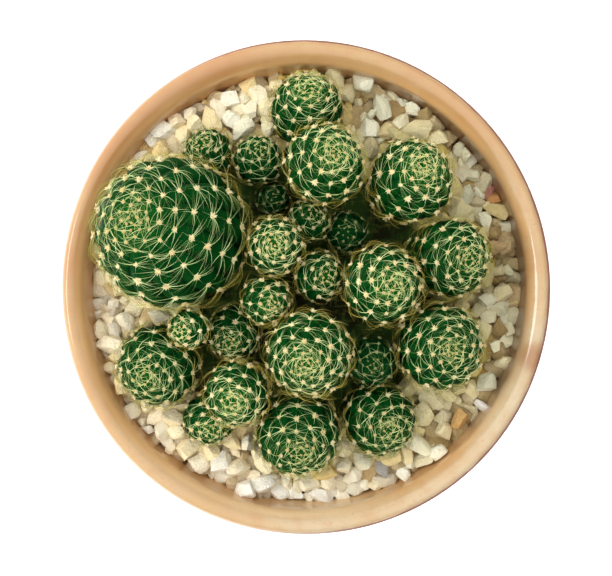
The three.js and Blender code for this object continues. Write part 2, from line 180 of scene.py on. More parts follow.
class Finish:
    """A material that is being wired."""

    def __init__(self, name):
        self.material = bpy.data.materials.new(name)
        self.material.use_nodes = True
        self.tree = self.material.node_tree
        self.tree.nodes.clear()
        self.place = self.node("ShaderNodeTexCoord", output="Object")

    def node(self, kind, settings=None, inputs=None, output=0):
        """Adds a node, sets its settings and then its inputs, and gives the wire of one output."""
        node = self.tree.nodes.new(kind)
        for name, value in (settings or {}).items():
            setattr(node, name, value)
        for key, value in (inputs or {}).items():
            if isinstance(value, Wire):
                self.tree.links.new(value.socket, node.inputs[key])
            else:
                node.inputs[key].default_value = value
        return None if output is None else Wire(self, node.outputs[output])

    def noise(self, size, detail=2, roughness=0.5, stretch=(1, 1, 1)):
        """Cloudy noise from 0 to 1, whose blots are about size metres across."""
        place = self.place
        if stretch != (1, 1, 1):
            place = self.node("ShaderNodeMapping", None, {"Vector": place, "Scale": stretch})
        inputs = {"Vector": place, "Scale": 1 / size, "Detail": detail, "Roughness": roughness}
        return self.node("ShaderNodeTexNoise", None, inputs)

    def mix(self, share, first, second):
        """The first colour where share is 0 and the second where it is 1."""
        first, second = ((*c, 1) if isinstance(c, tuple) else c for c in (first, second))
        inputs = {0: share, 6: first, 7: second}
        return self.node("ShaderNodeMix", {"data_type": "RGBA"}, inputs, output=2)

    def layered(self, colour, *coats):
        """Lays coats over a colour in turn. Each coat is a share from 0 to 1 and its colour."""
        for share, coat in coats:
            colour = self.mix(share, colour, coat)
        return colour

    def along(self, axis):
        """The place along X, Y or Z, in metres."""
        return self.node("ShaderNodeSeparateXYZ", None, {0: self.place}, output=axis)

    def attribute(self, name, output="Fac"):
        return self.node("ShaderNodeAttribute", {"attribute_name": name}, None, output)

    def bump(self, height, distance, strength=1.0):
        inputs = {"Height": height, "Distance": distance, "Strength": strength}
        return self.node("ShaderNodeBump", None, inputs)

    def surface(self, **inputs):
        """Ends the material in a Principled shader. Underscores in names stand for spaces."""
        named = {}
        for name, value in inputs.items():
            named[name.replace("_", " ")] = (*value, 1) if isinstance(value, tuple) else value
        shader = self.node("ShaderNodeBsdfPrincipled", None, named)
        self.node("ShaderNodeOutputMaterial", None, {"Surface": shader}, output=None)
        return self.material


# %% [markdown]
# The photograph's background is plain white, so the floor is a pale sheet that shines a little by
# itself. It is marked as stage, which means that it isn't part of the object.

# %% Floor
bpy.ops.mesh.primitive_plane_add(size=6)
floor = bpy.context.object
floor.name = "floor"
white = Finish("pale_floor")
floor.data.materials.append(
    white.surface(Base_Color=(0.9, 0.9, 0.9), Roughness=0.9,
                  Emission_Color=(1, 1, 1), Emission_Strength=0.6)
)
floor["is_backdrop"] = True
print("floor", round(floor.dimensions.x), "m across")

# %% [markdown]
# Hand tools for modelling in edit mode. An operator works on whatever is selected, so each step
# first selects by place, as a hand with a box select would, and then calls the operator. The ring
# tools build anything that was turned on a wheel: they extrude the selected ring of edges to the
# next height and scale it to the next radius.

# %% Tools for modelling by hand
def start_edit(piece, name):
    """Names a new primitive, puts its place into its mesh, and opens it in edit mode."""
    piece.name = piece.data.name = name
    bpy.ops.object.transform_apply(location=True, rotation=True, scale=True)
    bpy.ops.object.mode_set(mode="EDIT")


def end_edit():
    bpy.ops.object.mode_set(mode="OBJECT")
    return bpy.context.object


def select_where(rule):
    """In edit mode, selects the vertices whose place passes the rule, and nothing else."""
    shape = bmesh.from_edit_mesh(bpy.context.object.data)
    bpy.ops.mesh.select_mode(type="VERT")
    for vertex in shape.verts:
        vertex.select = bool(rule(vertex.co))
    shape.select_flush_mode()
    bmesh.update_edit_mesh(bpy.context.object.data)


def turn_profile(name, outline, sides):
    """A closed body turned round Z. outline is (radius, height) in mm from one pole to the other."""
    (radius, height), *others = outline
    place = (0, 0, height * MM)
    bpy.ops.mesh.primitive_circle_add(vertices=sides, radius=radius * MM, location=place)
    start_edit(bpy.context.object, name)
    bpy.ops.mesh.select_all(action="SELECT")
    for next_radius, next_height in others:
        rise = (0, 0, (next_height - height) * MM)
        bpy.ops.mesh.extrude_region_move(TRANSFORM_OT_translate={"value": rise})
        share = next_radius / radius
        middle = (0, 0, next_height * MM)
        bpy.ops.transform.resize(value=(share, share, 1), center_override=middle)
        radius, height = next_radius, next_height
    bpy.ops.mesh.merge(type="CENTER")
    first_radius, first_height = outline[0]
    reach = first_radius * 1.01 * MM
    select_where(lambda p: abs(p.z - first_height * MM) < 1e-7 and math.hypot(p.x, p.y) < reach)
    bpy.ops.mesh.merge(type="CENTER")
    bpy.ops.mesh.select_all(action="SELECT")
    bpy.ops.mesh.normals_make_consistent(inside=False)
    return end_edit()


def curve_points(start, pull, end, steps):
    """Points on a smooth curve from start to end that leaves towards pull and arrives from it. Each
    point is a radius and a height in mm."""
    start, pull, end = map(np.array, (start, pull, end))
    shares = np.linspace(0, 1, steps + 1)[:, None]
    points = (1 - shares) ** 2 * start + 2 * shares * (1 - shares) * pull + shares**2 * end
    return [tuple(map(float, point)) for point in points]


# %% [markdown]
# Some shaping is easier with numbers than with operators, such as pushing every vertex of a rim out
# of round. For that a mesh's vertices are read as one array, changed, and written back. The last
# two tools finish a piece: they smooth its shading except across sharp edges, set it on the
# object's one body, and print how many triangles it has.

# %% Tools for shaping by numbers and for finishing
def places_of(piece):
    """The vertices of a mesh as rows of x, y, z in metres."""
    places = np.empty(len(piece.data.vertices) * 3)
    piece.data.vertices.foreach_get("co", places)
    return places.reshape(-1, 3)


def set_places(piece, places):
    piece.data.vertices.foreach_set("co", np.asarray(places, float).ravel())
    piece.data.update()


def smooth_by_angle(piece, degrees):
    bpy.ops.object.select_all(action="DESELECT")
    piece.select_set(True)
    bpy.context.view_layer.objects.active = piece
    bpy.ops.object.shade_smooth_by_angle(angle=math.radians(degrees))


def finished(piece, slot, *nodes):
    """Sets a finished piece on the object's one body, in place of the solids it stands for."""
    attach(piece, "root")
    if nodes:
        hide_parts(*nodes)
    triangles = sum(len(face.vertices) - 2 for face in piece.data.polygons)
    print(piece.name, triangles, "triangles")


# %% [markdown]
# The bowl is thrown and glazed pottery: a flaring wall on a foot ring, ending in a thick rounded
# lip that slopes down to the wall inside. It could be a turned curve with a thickness, but the real
# wall isn't even: it is thick at the foot and at the lip, and thin in between. So the whole
# outline, outside and inside, is extruded ring by ring from the underside of the floor to the top
# of it. The numbers are those of the solid model. A thrown rim is never a perfect circle, and this
# one is a little longer from top to bottom of the photograph than it is across.

# %% The bowl
RIM_RADIUS, RIM_HEIGHT = 100, 80
LIP_OUTSIDE, LIP_HALF_HEIGHT = 3.0, 4.6
LIP_PULL, LIP_INSIDE = (93.2, RIM_HEIGHT), (90.4, 75.8)
FOOT_RADIUS, FOOT_INSIDE, FOOT_HEIGHT = 60, 51, 4
FLOOR_RADIUS, FLOOR_TOP = 50, 10
BOWL_SIDES = 144

lip = []
for degrees in range(-6, 90, 12):
    turn = math.radians(degrees)
    across = RIM_RADIUS - LIP_OUTSIDE * (1 - math.cos(turn))
    lip.append((across, RIM_HEIGHT - LIP_HALF_HEIGHT * (1 - math.sin(turn))))
lip += curve_points((RIM_RADIUS - LIP_OUTSIDE, RIM_HEIGHT), LIP_PULL, LIP_INSIDE, 10)
lip += [(90.0, 74.4), (89.7, 72.8), (89.5, 71.4)]
inside_wall = curve_points((89.3, 70), (82, 33), (FLOOR_RADIUS, FLOOR_TOP), 16)
foot = [(6, FOOT_HEIGHT), (30, FOOT_HEIGHT), (FOOT_INSIDE - 2, FOOT_HEIGHT),
        (FOOT_INSIDE - 0.6, FOOT_HEIGHT - 0.6), (FOOT_INSIDE, 1), (FOOT_INSIDE + 0.8, 0),
        (FOOT_RADIUS - 1, 0), (FOOT_RADIUS - 0.2, 0.7), (FOOT_RADIUS - 0.4, FOOT_HEIGHT - 1)]
outside_wall = curve_points((FOOT_RADIUS, FOOT_HEIGHT), (88, 26), (99, 72), 18)
floor_inside = [(30, FLOOR_TOP), (6, FLOOR_TOP)]
outline = foot + outside_wall + lip + inside_wall + floor_inside
bowl = turn_profile("glazed_bowl", outline, BOWL_SIDES)

points = places_of(bowl)
around = np.arctan2(points[:, 1], points[:, 0])
height = points[:, 2] / (RIM_HEIGHT * MM)
wobble = 0.0070 - 0.0064 * np.cos(2 * around - 0.15) + 0.0019 * np.cos(3 * around + 0.7)
out_of_round = 1 + height * (wobble - 0.0013 * np.cos(4 * around))
points[:, :2] *= out_of_round[:, None]
set_places(bowl, points)
smooth_by_angle(bowl, 40)
print("bowl turned from", len(outline), "rings, out of round by up to",
      round(float(np.ptp(out_of_round)) * 100, 1), "%")

# %% [markdown]
# The glaze is a warm tan that pooled unevenly: browner to the left, paler to the lower right, with
# faint streaks that ran down and fine darker specks. A finish is built up here as it is on the real
# bowl, coat over coat, and each coat is a share from 0 to 1 and a colour. Patterns read the bowl's
# own coordinates, which a turned pot can use from every side.

# %% Glaze
glaze = Finish("tan_glaze")
x, y, z = (glaze.along(axis) for axis in "XYZ")
radius = (x**2 + y**2) ** 0.5
LIGHT_TAN, TAN, BROWN = (0.56, 0.452, 0.278), (0.53, 0.328, 0.142), (0.475, 0.225, 0.080)

cloud = glaze.noise(45 * MM, detail=4, roughness=0.6)
tone = x * 2.6 - y * 2.2 + cloud * 1.3 - 0.15
specks = glaze.noise(1.4 * MM, detail=1)
streaks = glaze.noise(7 * MM, detail=3, stretch=(1, 1, 0.25))
colour = glaze.layered(
    BROWN,
    (tone.between(-0.1, 0.55), TAN),
    (tone.between(0.5, 1.05), LIGHT_TAN),
    (specks.between(0.66, 0.74) * 0.45, BROWN),
    (streaks.between(0.45, 0.75) * 0.3, BROWN),
)
print("first coats of the glaze:", len(glaze.tree.nodes), "nodes")

# %% [markdown]
# Inside the bowl the glaze is more golden, and towards the top it is painted a lighter gold, as
# painted light. Just inside the lip at the left and the lower edge it is painted lighter, as painted
# light, and low on the right-hand wall it is painted dark, as the heads' shadow. Each of these places
# is picked out by its distance from the middle, its height and its side of the bowl, and a slow
# noise makes its border wander.

# %% Glaze inside the bowl
WALL_TAN, WALL_CREAM, WALL_GOLD = (0.70, 0.375, 0.14), (0.78, 0.54, 0.28), (0.88, 0.51, 0.20)
SHOULDER_TAN, SHOULDER_CREAM = (0.80, 0.48, 0.21), (0.95, 0.70, 0.42)
WALL_SHADOW = (0.12, 0.06, 0.03)

wander = glaze.noise(9 * MM, detail=2) * (1.6 * MM)
inside = radius.between(94.5 * MM, 90 * MM)
# painted light: the inner wall towards the top is painted a lighter gold
towards_top = (y * 10 + x * 4).between(0.5, 0.9)
wall = glaze.layered(WALL_TAN, (tone.between(0.6, 0.95), WALL_CREAM), (towards_top, WALL_GOLD))
# painted light: the shoulder inside the lip, at the left and the lower edge, is painted lighter
shoulder = radius.between(90 * MM, 92.5 * MM) * radius.between(95.2 * MM, 93 * MM)
at_left = (x * 10 + y * 4).between(0.1, -0.5)
painted_shoulder_light = glaze.mix((y * 10).between(-0.6, -0.92), SHOULDER_TAN, SHOULDER_CREAM)
# painted shadow: the heads' shadow low on the right-hand wall is painted dark
wall_shadow_line = z + wander * 0.5 - (x * 10).between(0.6, 0.85) * (1.8 * MM)
painted_wall_shadow = wall_shadow_line.between(77.8 * MM, 71.5 * MM) * (x * 9 + y * 4).between(0.2, 0.8)
colour = glaze.layered(
    colour,
    (inside * 0.7, wall),
    (shoulder * at_left * 0.5, painted_shoulder_light),
    (painted_wall_shadow * 0.85, WALL_SHADOW),
)
print("with the coats inside the bowl:", len(glaze.tree.nodes), "nodes")

# %% [markdown]
# The bowl has a few marks. There is a reddish stain low on the right of the lip. On the outermost
# edge, mostly on the right half, the glaze ran thin and the red clay shows as a fine line. The foot
# ring is left bare, so that the bowl doesn't stick to the kiln shelf. Faint rings run round the
# whole pot where the potter's fingers held it: that noise is laid out by radius, angle and height
# instead of x, y and z. A coat gives the gloss of the glaze over a rougher body, and it ends where
# the glaze does.

# %% Marks in the glaze
STAIN, STAIN_X, STAIN_Y = (0.37, 0.175, 0.065), 0.0935, -0.029
RED_CLAY, BARE_CLAY = (0.17, 0.03, 0.015), (0.36, 0.185, 0.11)

grain = glaze.noise(0.8 * MM, detail=3, roughness=0.7)
from_stain = ((x - STAIN_X) ** 2 + (y - STAIN_Y) ** 2) ** 0.5 + wander
edge = z + wander * 0.6 - (x * 10 - y * 3).between(0.2, 1.0) * (0.25 * MM)
thin = edge.between(79.9 * MM, 78.8 * MM) * radius.between(96.6 * MM, 98 * MM)
thin = thin * (z + wander).between(70 * MM, 76 * MM) * (x * 10 + y * 2).between(-0.6, 0.1)
bare = (z + wander * 0.5).between(5.6 * MM, 4.6 * MM) * radius.between(30 * MM, 44 * MM)
turn = glaze.node("ShaderNodeMath", {"operation": "ARCTAN2"}, {0: y, 1: x})
thrown = glaze.node("ShaderNodeCombineXYZ", None, {0: radius, 1: turn * 0.006, 2: z})
rings = glaze.node("ShaderNodeTexNoise", None, {"Vector": thrown, "Scale": 900, "Detail": 2})
peel = glaze.noise(5 * MM, detail=3, roughness=0.55)
colour = glaze.layered(
    colour,
    (grain.between(0.35, 0.75) * 0.16, BROWN),
    (from_stain.between(10 * MM, 3 * MM) * 0.9, STAIN),
    (thin * 0.88, RED_CLAY),
    (bare, BARE_CLAY),
    (rings.between(0.5, 0.8) * 0.22, BROWN),
)
bowl.data.materials.append(
    glaze.surface(Base_Color=colour, Roughness=bare * 0.5 + 0.34 + thin * 0.4,
                  Coat_Weight=(1 - bare) * (1 - thin) * 0.9, Coat_Roughness=0.07, Coat_IOR=1.5,
                  Specular_IOR_Level=0.3, Normal=glaze.bump(peel, 0.12 * MM, 0.4))
)
finished(bowl, "glazed_clay", "pot")

# %% [markdown]
# Under the stones the bowl is full of dark potting soil. It lies open between the heads, and at the
# wall specks of it show, which gives the gravel its depth. It is turned like the bowl, to fit
# inside the wall with a hair's gap, and its top is then made crumbly by pushing each vertex up or
# down by fractal noise, which is quicker than placing crumbs.

# %% Soil
SOIL_TOP = 62
WALL_GAP = 0.4
SOIL_SIDES = 110
CRUMBS_PER_METRE, CRUMB_HEIGHT = 260, 0.7
FADING, FINER, OCTAVES = 0.7, 2.2, 5  # how each octave of the noise is weaker and finer

side = [(r - WALL_GAP, h) for r, h in reversed(inside_wall) if FLOOR_TOP < h < SOIL_TOP - 1]
top_radius = float(np.interp(SOIL_TOP, [h for _, h in side], [r for r, _ in side])) + 0.6
top = [(top_radius * share, SOIL_TOP) for share in np.linspace(1, 0.04, 36)]
bottom = [(6, FLOOR_TOP + 0.3), (FLOOR_RADIUS - 1, FLOOR_TOP + 0.3)]
soil = turn_profile("potting_soil", bottom + side + top, SOIL_SIDES)
places = places_of(soil)
for place in places:
    if place[2] > (SOIL_TOP - 0.5) * MM:
        crumb = noise.fractal(Vector(place) * CRUMBS_PER_METRE, FADING, FINER, OCTAVES)
        place[2] += CRUMB_HEIGHT * MM * crumb + 0.1 * MM
set_places(soil, places)
smooth_by_angle(soil, 50)
tallest = places[:, 2].max() / MM - SOIL_TOP
print("the tallest crumb stands", round(float(tallest), 1), "mm over the soil")

# %% [markdown]
# At the wall the soil is plain brown, with pale fibres. Between the heads it lies in deep shade,
# which is painted into it as a dark green with darker blots, under a criss-cross of dead spines. Two
# stretched noises, one along X and one along Y, make the criss-cross.

# %% Soil colours
earth = Finish("potting_soil")
crumbs = earth.noise(2.2 * MM, detail=5, roughness=0.7)
fibres = earth.noise(1.1 * MM, detail=2, stretch=(1, 0.25, 1))
between_heads = ((earth.along("X") ** 2 + earth.along("Y") ** 2) ** 0.5).between(68 * MM, 48 * MM)
painted_shade_blots = earth.noise(11 * MM, detail=2)
strands = earth.noise(1.6 * MM, detail=3, stretch=(1, 0.2, 1)).between(0.54, 0.68)
crossing = earth.noise(1.5 * MM, detail=3, stretch=(0.2, 1, 1)).between(0.54, 0.68)
colour = earth.layered(
    (0.07, 0.034, 0.015),
    (crumbs.between(0.3, 0.75), (0.23, 0.13, 0.06)),
    (fibres.between(0.62, 0.75) * 0.5, (0.30, 0.19, 0.10)),
    # painted shade: between the heads the soil is painted dark green, with darker blots
    (between_heads, (0.03, 0.075, 0.011)),
    (between_heads * painted_shade_blots.between(0.46, 0.6) * 0.85, (0.020, 0.016, 0.005)),
    (between_heads * (strands + crossing) * 0.3, (0.22, 0.24, 0.045)),
)
soil.data.materials.append(
    earth.surface(Base_Color=colour, Roughness=0.95, Specular_IOR_Level=0.2,
                  Normal=earth.bump(crumbs, 0.9 * MM))
)
finished(soil, "soil", "soil")

# %% [markdown]
# The heads come before the stones, because the stones have to lie between them. The table is the
# solid model's, in mm: the middle of each head's widest part, its radius, the sideways part of the
# direction it leans in, where it is rooted, how thick its neck is, and how many ribs it has.
# Low heads and heads in their neighbours' shade look darker and greener, so their skin, felt and
# spines are painted darker and greener, as painted shade, and the second table says by how much.

# %% The clump
HEADS = [
    # x, y, z, radius, lean, root, neck, ribs
    (-54.5, 22, 95, 30, (-0.43, 0.15), (-50, 20.5), 13, 14),
    (0.5, 73, 77, 14.5, (0.04, 0.48), (0, 67), 7, 12),
    (7.5, 49, 99.5, 16, (0.27, 0.2), (5, 45), 6.5, 12),
    (42.5, 43, 88, 17, (0.26, 0.26), (39, 40), 8, 12),
    (58.5, 12, 85, 16, (0.42, -0.07), (53, 12), 7.5, 12),
    (30.5, 1, 99, 15.5, (0.23, 0), (29, 2), 7.5, 12),
    (54.5, -24, 86, 17.5, (0.23, -0.05), (51, -23), 8, 12),
    (1.5, -26, 100, 17, (-0.09, -0.25), (2, -24), 8.5, 13),
    (30, -54, 75.5, 15, (0.27, -0.22), (28, -52), 8, 12),
    (-3, -59.5, 83, 17, (0.07, -0.38), (-3, -55), 8, 12),
    (-27.5, -42.5, 92, 13, (-0.06, -0.24), (-23, -39), 6, 11),
    (-60, -31.5, 81, 16.5, (-0.22, -0.26), (-58, -30), 8, 12),
    (-46.5, -16, 97, 8, (-0.42, -0.2), (-45, -16.5), 3, 9),
    (-29, -18.5, 79, 11, (-0.15, -0.4), (-28.5, -16.5), 5, 10),
    (-16, -5, 93, 10, (0.27, -0.23), (-15.5, -3), 4.5, 10),
    (-12.5, 16.5, 98, 11.5, (0.02, 0.07), (-12.5, 16), 5, 11),
    (5, 4.5, 88, 10, (0.34, 0), (3.5, 4.5), 5, 10),
    (1, 26.5, 84, 8.5, (0.27, 0.36), (0.5, 25), 4, 9),
    (16.5, 22.5, 76, 8.5, (-0.05, -0.05), (16.5, 22.5), 4.5, 9),
    (-13.5, 36.5, 71.5, 7, (0.08, 0), (-13.5, 36.5), 4, 9),
    (-19.5, 52, 79, 10, (0.04, 0.35), (-19.5, 50.5), 5, 10),
    (-40, 54.5, 74, 10.5, (-0.2, 0.36), (-39.5, 53.5), 5, 10),
    (-39.5, -53.5, 72.5, 11, (0.1, -0.4), (-39, -53), 5.5, 10),
    (26.5, -30, 86.5, 10, (-0.04, 0), (26.5, -29.5), 5, 10),
]
# painted shade: how much darker and greener each head is painted
SHADED = {1: 0.1, 5: 0.12, 7: 0.14, 8: 0.06, 9: 0.2, 10: 0.2, 12: 0.16, 14: 0.15, 17: 0.15,
          18: 0.3, 19: 0.7, 20: 0.7, 21: 0.3, 22: 0.15, 24: 0.65}
NECK_TOP, NECK_BOTTOM = 67.4, 57
print(len(HEADS), "heads, radii", [row[3] for row in HEADS])

# %% [markdown]
# A head is a ball on a tapering, often bent stem: the crown is a half ball round the head's own
# axis, and below the widest part the body narrows along a curve to a neck that is rooted in the
# soil. It is worked out as rings on one bent line. A station says how far along it a ring lies, so
# the skin, the areoles and the spines can all ask for places on the same head.

# %% A head's form
UP = np.array([0.0, 0, 1])
LARGE, GROWN = 20, 12.5  # radii in mm: over the first a head is large, under the second an offset


def unit(rows):
    return rows / np.linalg.norm(rows, axis=-1, keepdims=True)


class Head:
    """One head's form. A station runs from -1 at the crown's tip through 0 at the widest part to 1
    at the top of the neck, and on to 1.3 at the neck's lower end."""

    STATIONS = np.linspace(-1, 1.3, 400)

    def __init__(self, number, x, y, z, radius, lean, root, neck, ribs):
        self.number, self.radius, self.neck, self.ribs = number, radius, neck, ribs
        self.large, self.small = radius > LARGE, radius < GROWN
        self.middle = np.array([x, y, z], float)
        self.axis = np.array([*lean, math.sqrt(1 - lean[0] ** 2 - lean[1] ** 2)])
        self.root = np.array([*root, NECK_TOP], float)
        self.random = np.random.default_rng(100 + number)
        self.shade = SHADED.get(number, 0)
        self.twist = (0.35 + 0.25 * self.random.random()) * (1 if number % 3 else -1)
        middles, _, radii = self.rings(self.STATIONS)
        steps = np.linalg.norm(np.diff(middles, axis=0), axis=1)
        self.lengths = np.concatenate([[0], np.cumsum(np.hypot(steps, np.diff(radii) * 0.9))])

    def rings(self, stations):
        """The middle, axis and radius of the ring at each station."""
        stations = np.atleast_1d(np.asarray(stations, float))
        s = np.clip(stations, 0, 1)[:, None]
        drop = self.middle[2] - NECK_TOP
        handle = min(0.35 * drop, 0.7 * self.radius)
        pulls = (self.middle, self.middle - self.axis * handle, self.root + UP * 0.35 * drop, self.root)
        weights = ((1 - s) ** 3, 3 * s * (1 - s) ** 2, 3 * s * s * (1 - s), s**3)
        middles = sum(weight * pull for weight, pull in zip(weights, pulls))
        axes = unit(self.axis * (1 - s) + UP * s)
        fullness = min(1, 0.1 + 0.9 * self.radius / drop)
        width = fullness * np.sqrt(1 - s[:, 0] ** 2)
        radii = self.neck + (self.radius - self.neck) * width
        polar = (np.clip(stations, -1, 0) + 1) * math.pi / 2
        crown = stations <= 0
        middles[crown] += self.axis * (self.radius * np.cos(polar[crown]))[:, None]
        radii[crown] = self.radius * np.sin(polar[crown])
        below = np.clip(stations - 1, 0, None)[:, None] / 0.3
        middles = middles - UP * below * (NECK_TOP - NECK_BOTTOM)
        return middles, axes, radii

    def station_at(self, length):
        """The station that lies this far down the side from the crown's tip, in mm."""
        return np.interp(length, self.lengths, self.STATIONS)

    def length_at(self, station):
        return np.interp(station, self.STATIONS, self.lengths)

    def points(self, stations, angles, share=1.0):
        """Points on the rings at these angles, at this share of the ring's radius."""
        middles, axes, radii = self.rings(stations)
        angles = angles + self.twist * np.exp(-self.length_at(stations) / (0.45 * self.radius))
        first = unit(np.array([1.0, 0, 0]) - axes * axes[:, :1])
        second = np.cross(axes, first)
        reach = (radii * share)[:, None]
        return middles + reach * (first * np.cos(angles)[:, None] + second * np.sin(angles)[:, None])


heads = [Head(number, *row) for number, row in enumerate(HEADS, 1)]
print("side lengths in mm", [round(float(head.lengths[-1])) for head in heads])

# %% [markdown]
# Areoles are the small felted pads that spines grow from. They sit on the crest of each rib in a
# row, close together at the growing tip and further apart as the head swells below it, and those of
# neighbouring ribs take turns. Their places are worked out before the skin, because the rib swells
# a little under each of them. New ones crowd at the tip: that is the tangle of gold in the middle
# of every head.

# %% Where the areoles sit
GOLDEN_TURN = 0.618  # of a turn; steps of it keep neighbouring ribs from lining up


def areole_rows(head):
    """Adds the areoles' rib, length down the side and spacing to the head."""
    widest = 8.4 if head.large else 5.4 if head.small else 6.5
    ribs, lengths, gaps = [], [], []
    for rib in range(head.ribs):
        turn_taken = (rib * GOLDEN_TURN + 0.13 * head.random.random()) % 1
        length = widest * (0.15 + 0.5 * turn_taken)
        while length < head.length_at(0.97):
            grown = min(1, length / (0.95 * head.radius))
            gap = widest * (0.46 + 0.54 * grown)
            ribs.append(rib)
            lengths.append(length)
            gaps.append(gap)
            length += gap * (0.94 + 0.12 * head.random.random())
    head.areole_rib, head.areole_length = np.array(ribs), np.array(lengths)
    head.areole_gap = np.array(gaps)


for head in heads:
    areole_rows(head)
print(sum(len(head.areole_rib) for head in heads), "areoles")

# %% [markdown]
# The skin of a head starts as a UV sphere whose meridians are shared out evenly over the ribs, so
# that one meridian runs along every crest and one in every groove. Each vertex is then moved to its
# place on the head: its latitude says how far down the side it lies, and its longitude how near it
# is to a crest. A rib's cross-section is a full round back with a sharp groove on either side,
# which is the shape of |cos|. The grooves fade towards the tip, where ribs begin, and the very tip
# is a shallow dip. Sculpting would be the other way, but the formula keeps all twenty-four heads
# where their solids are.

# %% Skins
RIB_DEPTH = 0.125
SWELLING = 0.022
TIP_DIP, TIP_WIDTH = 0.05, 0.16  # as shares of the head's radius


def tip_dip(head, lengths):
    """How far the skin dips in mm at these lengths from the crown's tip."""
    return np.exp(-((lengths / (TIP_WIDTH * head.radius)) ** 2)) * TIP_DIP * head.radius


def skin_of(head):
    facets = 10 if head.large else 8
    rows = 96 if head.large else 40 if head.small else 60
    bpy.ops.mesh.primitive_uv_sphere_add(segments=head.ribs * facets, ring_count=rows, radius=1)
    skin = bpy.context.object
    skin.name = skin.data.name = f"skin_{head.number:02d}"
    ball = places_of(skin)
    angles = np.arctan2(ball[:, 1], ball[:, 0]) % math.tau
    down = np.arccos(np.clip(ball[:, 2], -1, 1)) / math.pi
    lengths = down * head.lengths[-1]
    stations = head.station_at(lengths)

    crest = np.abs(np.cos(head.ribs * angles / 2)) ** 0.8
    reach = np.clip(lengths / (0.5 * head.radius), 0, 1)
    depth = RIB_DEPTH * reach * reach * (3 - 2 * reach)
    rib = np.rint(angles * head.ribs / math.tau).astype(int) % head.ribs
    swell = np.zeros(len(ball))
    for k in range(head.ribs):
        mine = rib == k
        on_rib = head.areole_rib == k
        apart = lengths[mine][:, None] - head.areole_length[on_rib][None, :]
        swell[mine] = np.exp(-((apart / (0.34 * head.areole_gap[on_rib])) ** 2)).max(axis=1)
    share = 1 - depth * (1 - crest) + SWELLING * crest**2 * (swell - 0.5) * reach
    places = head.points(stations, angles, share) - head.axis * tip_dip(head, lengths)[:, None]
    set_places(skin, places * MM)
    # painted shade: a shaded head's shade is added to how far down it counts
    stored = {"crest": crest, "down": lengths / head.radius + 2 * head.shade, "swell": swell}
    for name, values in stored.items():
        skin.data.attributes.new(name, "FLOAT", "POINT").data.foreach_set("value", values)
    smooth_by_angle(skin, 60)
    return skin


skins = [skin_of(head) for head in heads]
print("skins have", sorted({len(skin.data.vertices) for skin in skins}), "vertices")

# %% [markdown]
# A cactus skin is waxy and deep green, fresher and yellower near the tip where it is young, and
# blue-green and duller further down. The crests are painted lighter where they swell under an
# areole, as painted light, and the grooves are painted dark, as painted shade. The colour is mixed
# from the three attributes that were stored while the shape was made: how near a crest, how far
# down, and how near an areole. A shaded head counts as further down all over, which paints its
# shade into its skin.

# %% Green skin
waxy = Finish("green_skin")
down, crest, swell = (waxy.attribute(name) for name in ("down", "crest", "swell"))
YOUNG, GREEN, OLD = (0.003, 0.086, 0.006), (0.0004, 0.033, 0.0035), (0.0003, 0.020, 0.004)
cloud = waxy.noise(6 * MM, detail=3).between(0.35, 0.75)
pores = waxy.noise(0.45 * MM, detail=1)
colour = waxy.layered(
    YOUNG,
    (down.between(0.15, 0.8), GREEN),
    (down.between(1.1, 2.4), OLD),
    # painted light on the crests under areoles, and painted shade in the grooves
    (swell * crest * 0.3, (0.003, 0.095, 0.012)),
    (crest.between(0.5, 0.0) * 0.6, (0.0008, 0.018, 0.004)),
    (cloud * 0.3, (0.002, 0.064, 0.010)),
)
green_skin = waxy.surface(
    Base_Color=colour, Roughness=0.42 + cloud * 0.1, Specular_IOR_Level=0.025,
    Normal=waxy.bump(pores, 0.05 * MM, 0.6),
)
for head, skin in zip(heads, skins):
    skin.data.materials.append(green_skin)
    finished(skin, "cactus", f"head_{head.number:02d}")

# %% [markdown]
# Small things that repeat are modelled once and copied to every place. The copies of one head are
# one mesh: the tools below take a model apart into vertices and faces, which are its pattern, and
# build a mesh from many placed copies of them, each copy with its own points. Values that a
# material needs, such as how young an areole is, are stored on the copies as attributes.

# %% Tools for copying a model
def pattern_of(piece):
    """Takes a model apart into vertices and faces, and removes the model."""
    places = places_of(piece)
    faces = [tuple(face.vertices) for face in piece.data.polygons]
    mesh = piece.data
    bpy.data.objects.remove(piece)
    bpy.data.meshes.remove(mesh)
    return places, faces


def mesh_of_copies(name, copies, faces, values):
    """One mesh from copies, an array of (copy, vertex, xyz) in metres, all with the same faces."""
    count, corners = copies.shape[:2]
    all_faces = []
    for size in sorted({len(face) for face in faces}):
        same = np.array([face for face in faces if len(face) == size])
        shifted = same[None] + (np.arange(count) * corners)[:, None, None]
        all_faces += shifted.reshape(-1, size).tolist()
    mesh = bpy.data.meshes.new(name)
    mesh.from_pydata(copies.reshape(-1, 3).tolist(), [], all_faces)
    for key, value in values.items():
        spread = np.broadcast_to(np.asarray(value, float), (count, corners)).ravel()
        mesh.attributes.new(key, "FLOAT", "POINT").data.foreach_set("value", spread)
    piece = bpy.data.objects.new(name, mesh)
    bpy.context.collection.objects.link(piece)
    return piece


# %% [markdown]
# Each areole is a small cushion of felt with tufts of wool standing out of it like a star. The
# cushion is a flattened ball, and the wool is nine short blunt cones that point every way but down.
# Cones have few faces, which counts when there are some two thousand areoles.

# %% Felt tuft
WOOL_CONES = 9
GOLDEN_ANGLE = 2.39996  # radians between one cone and the next


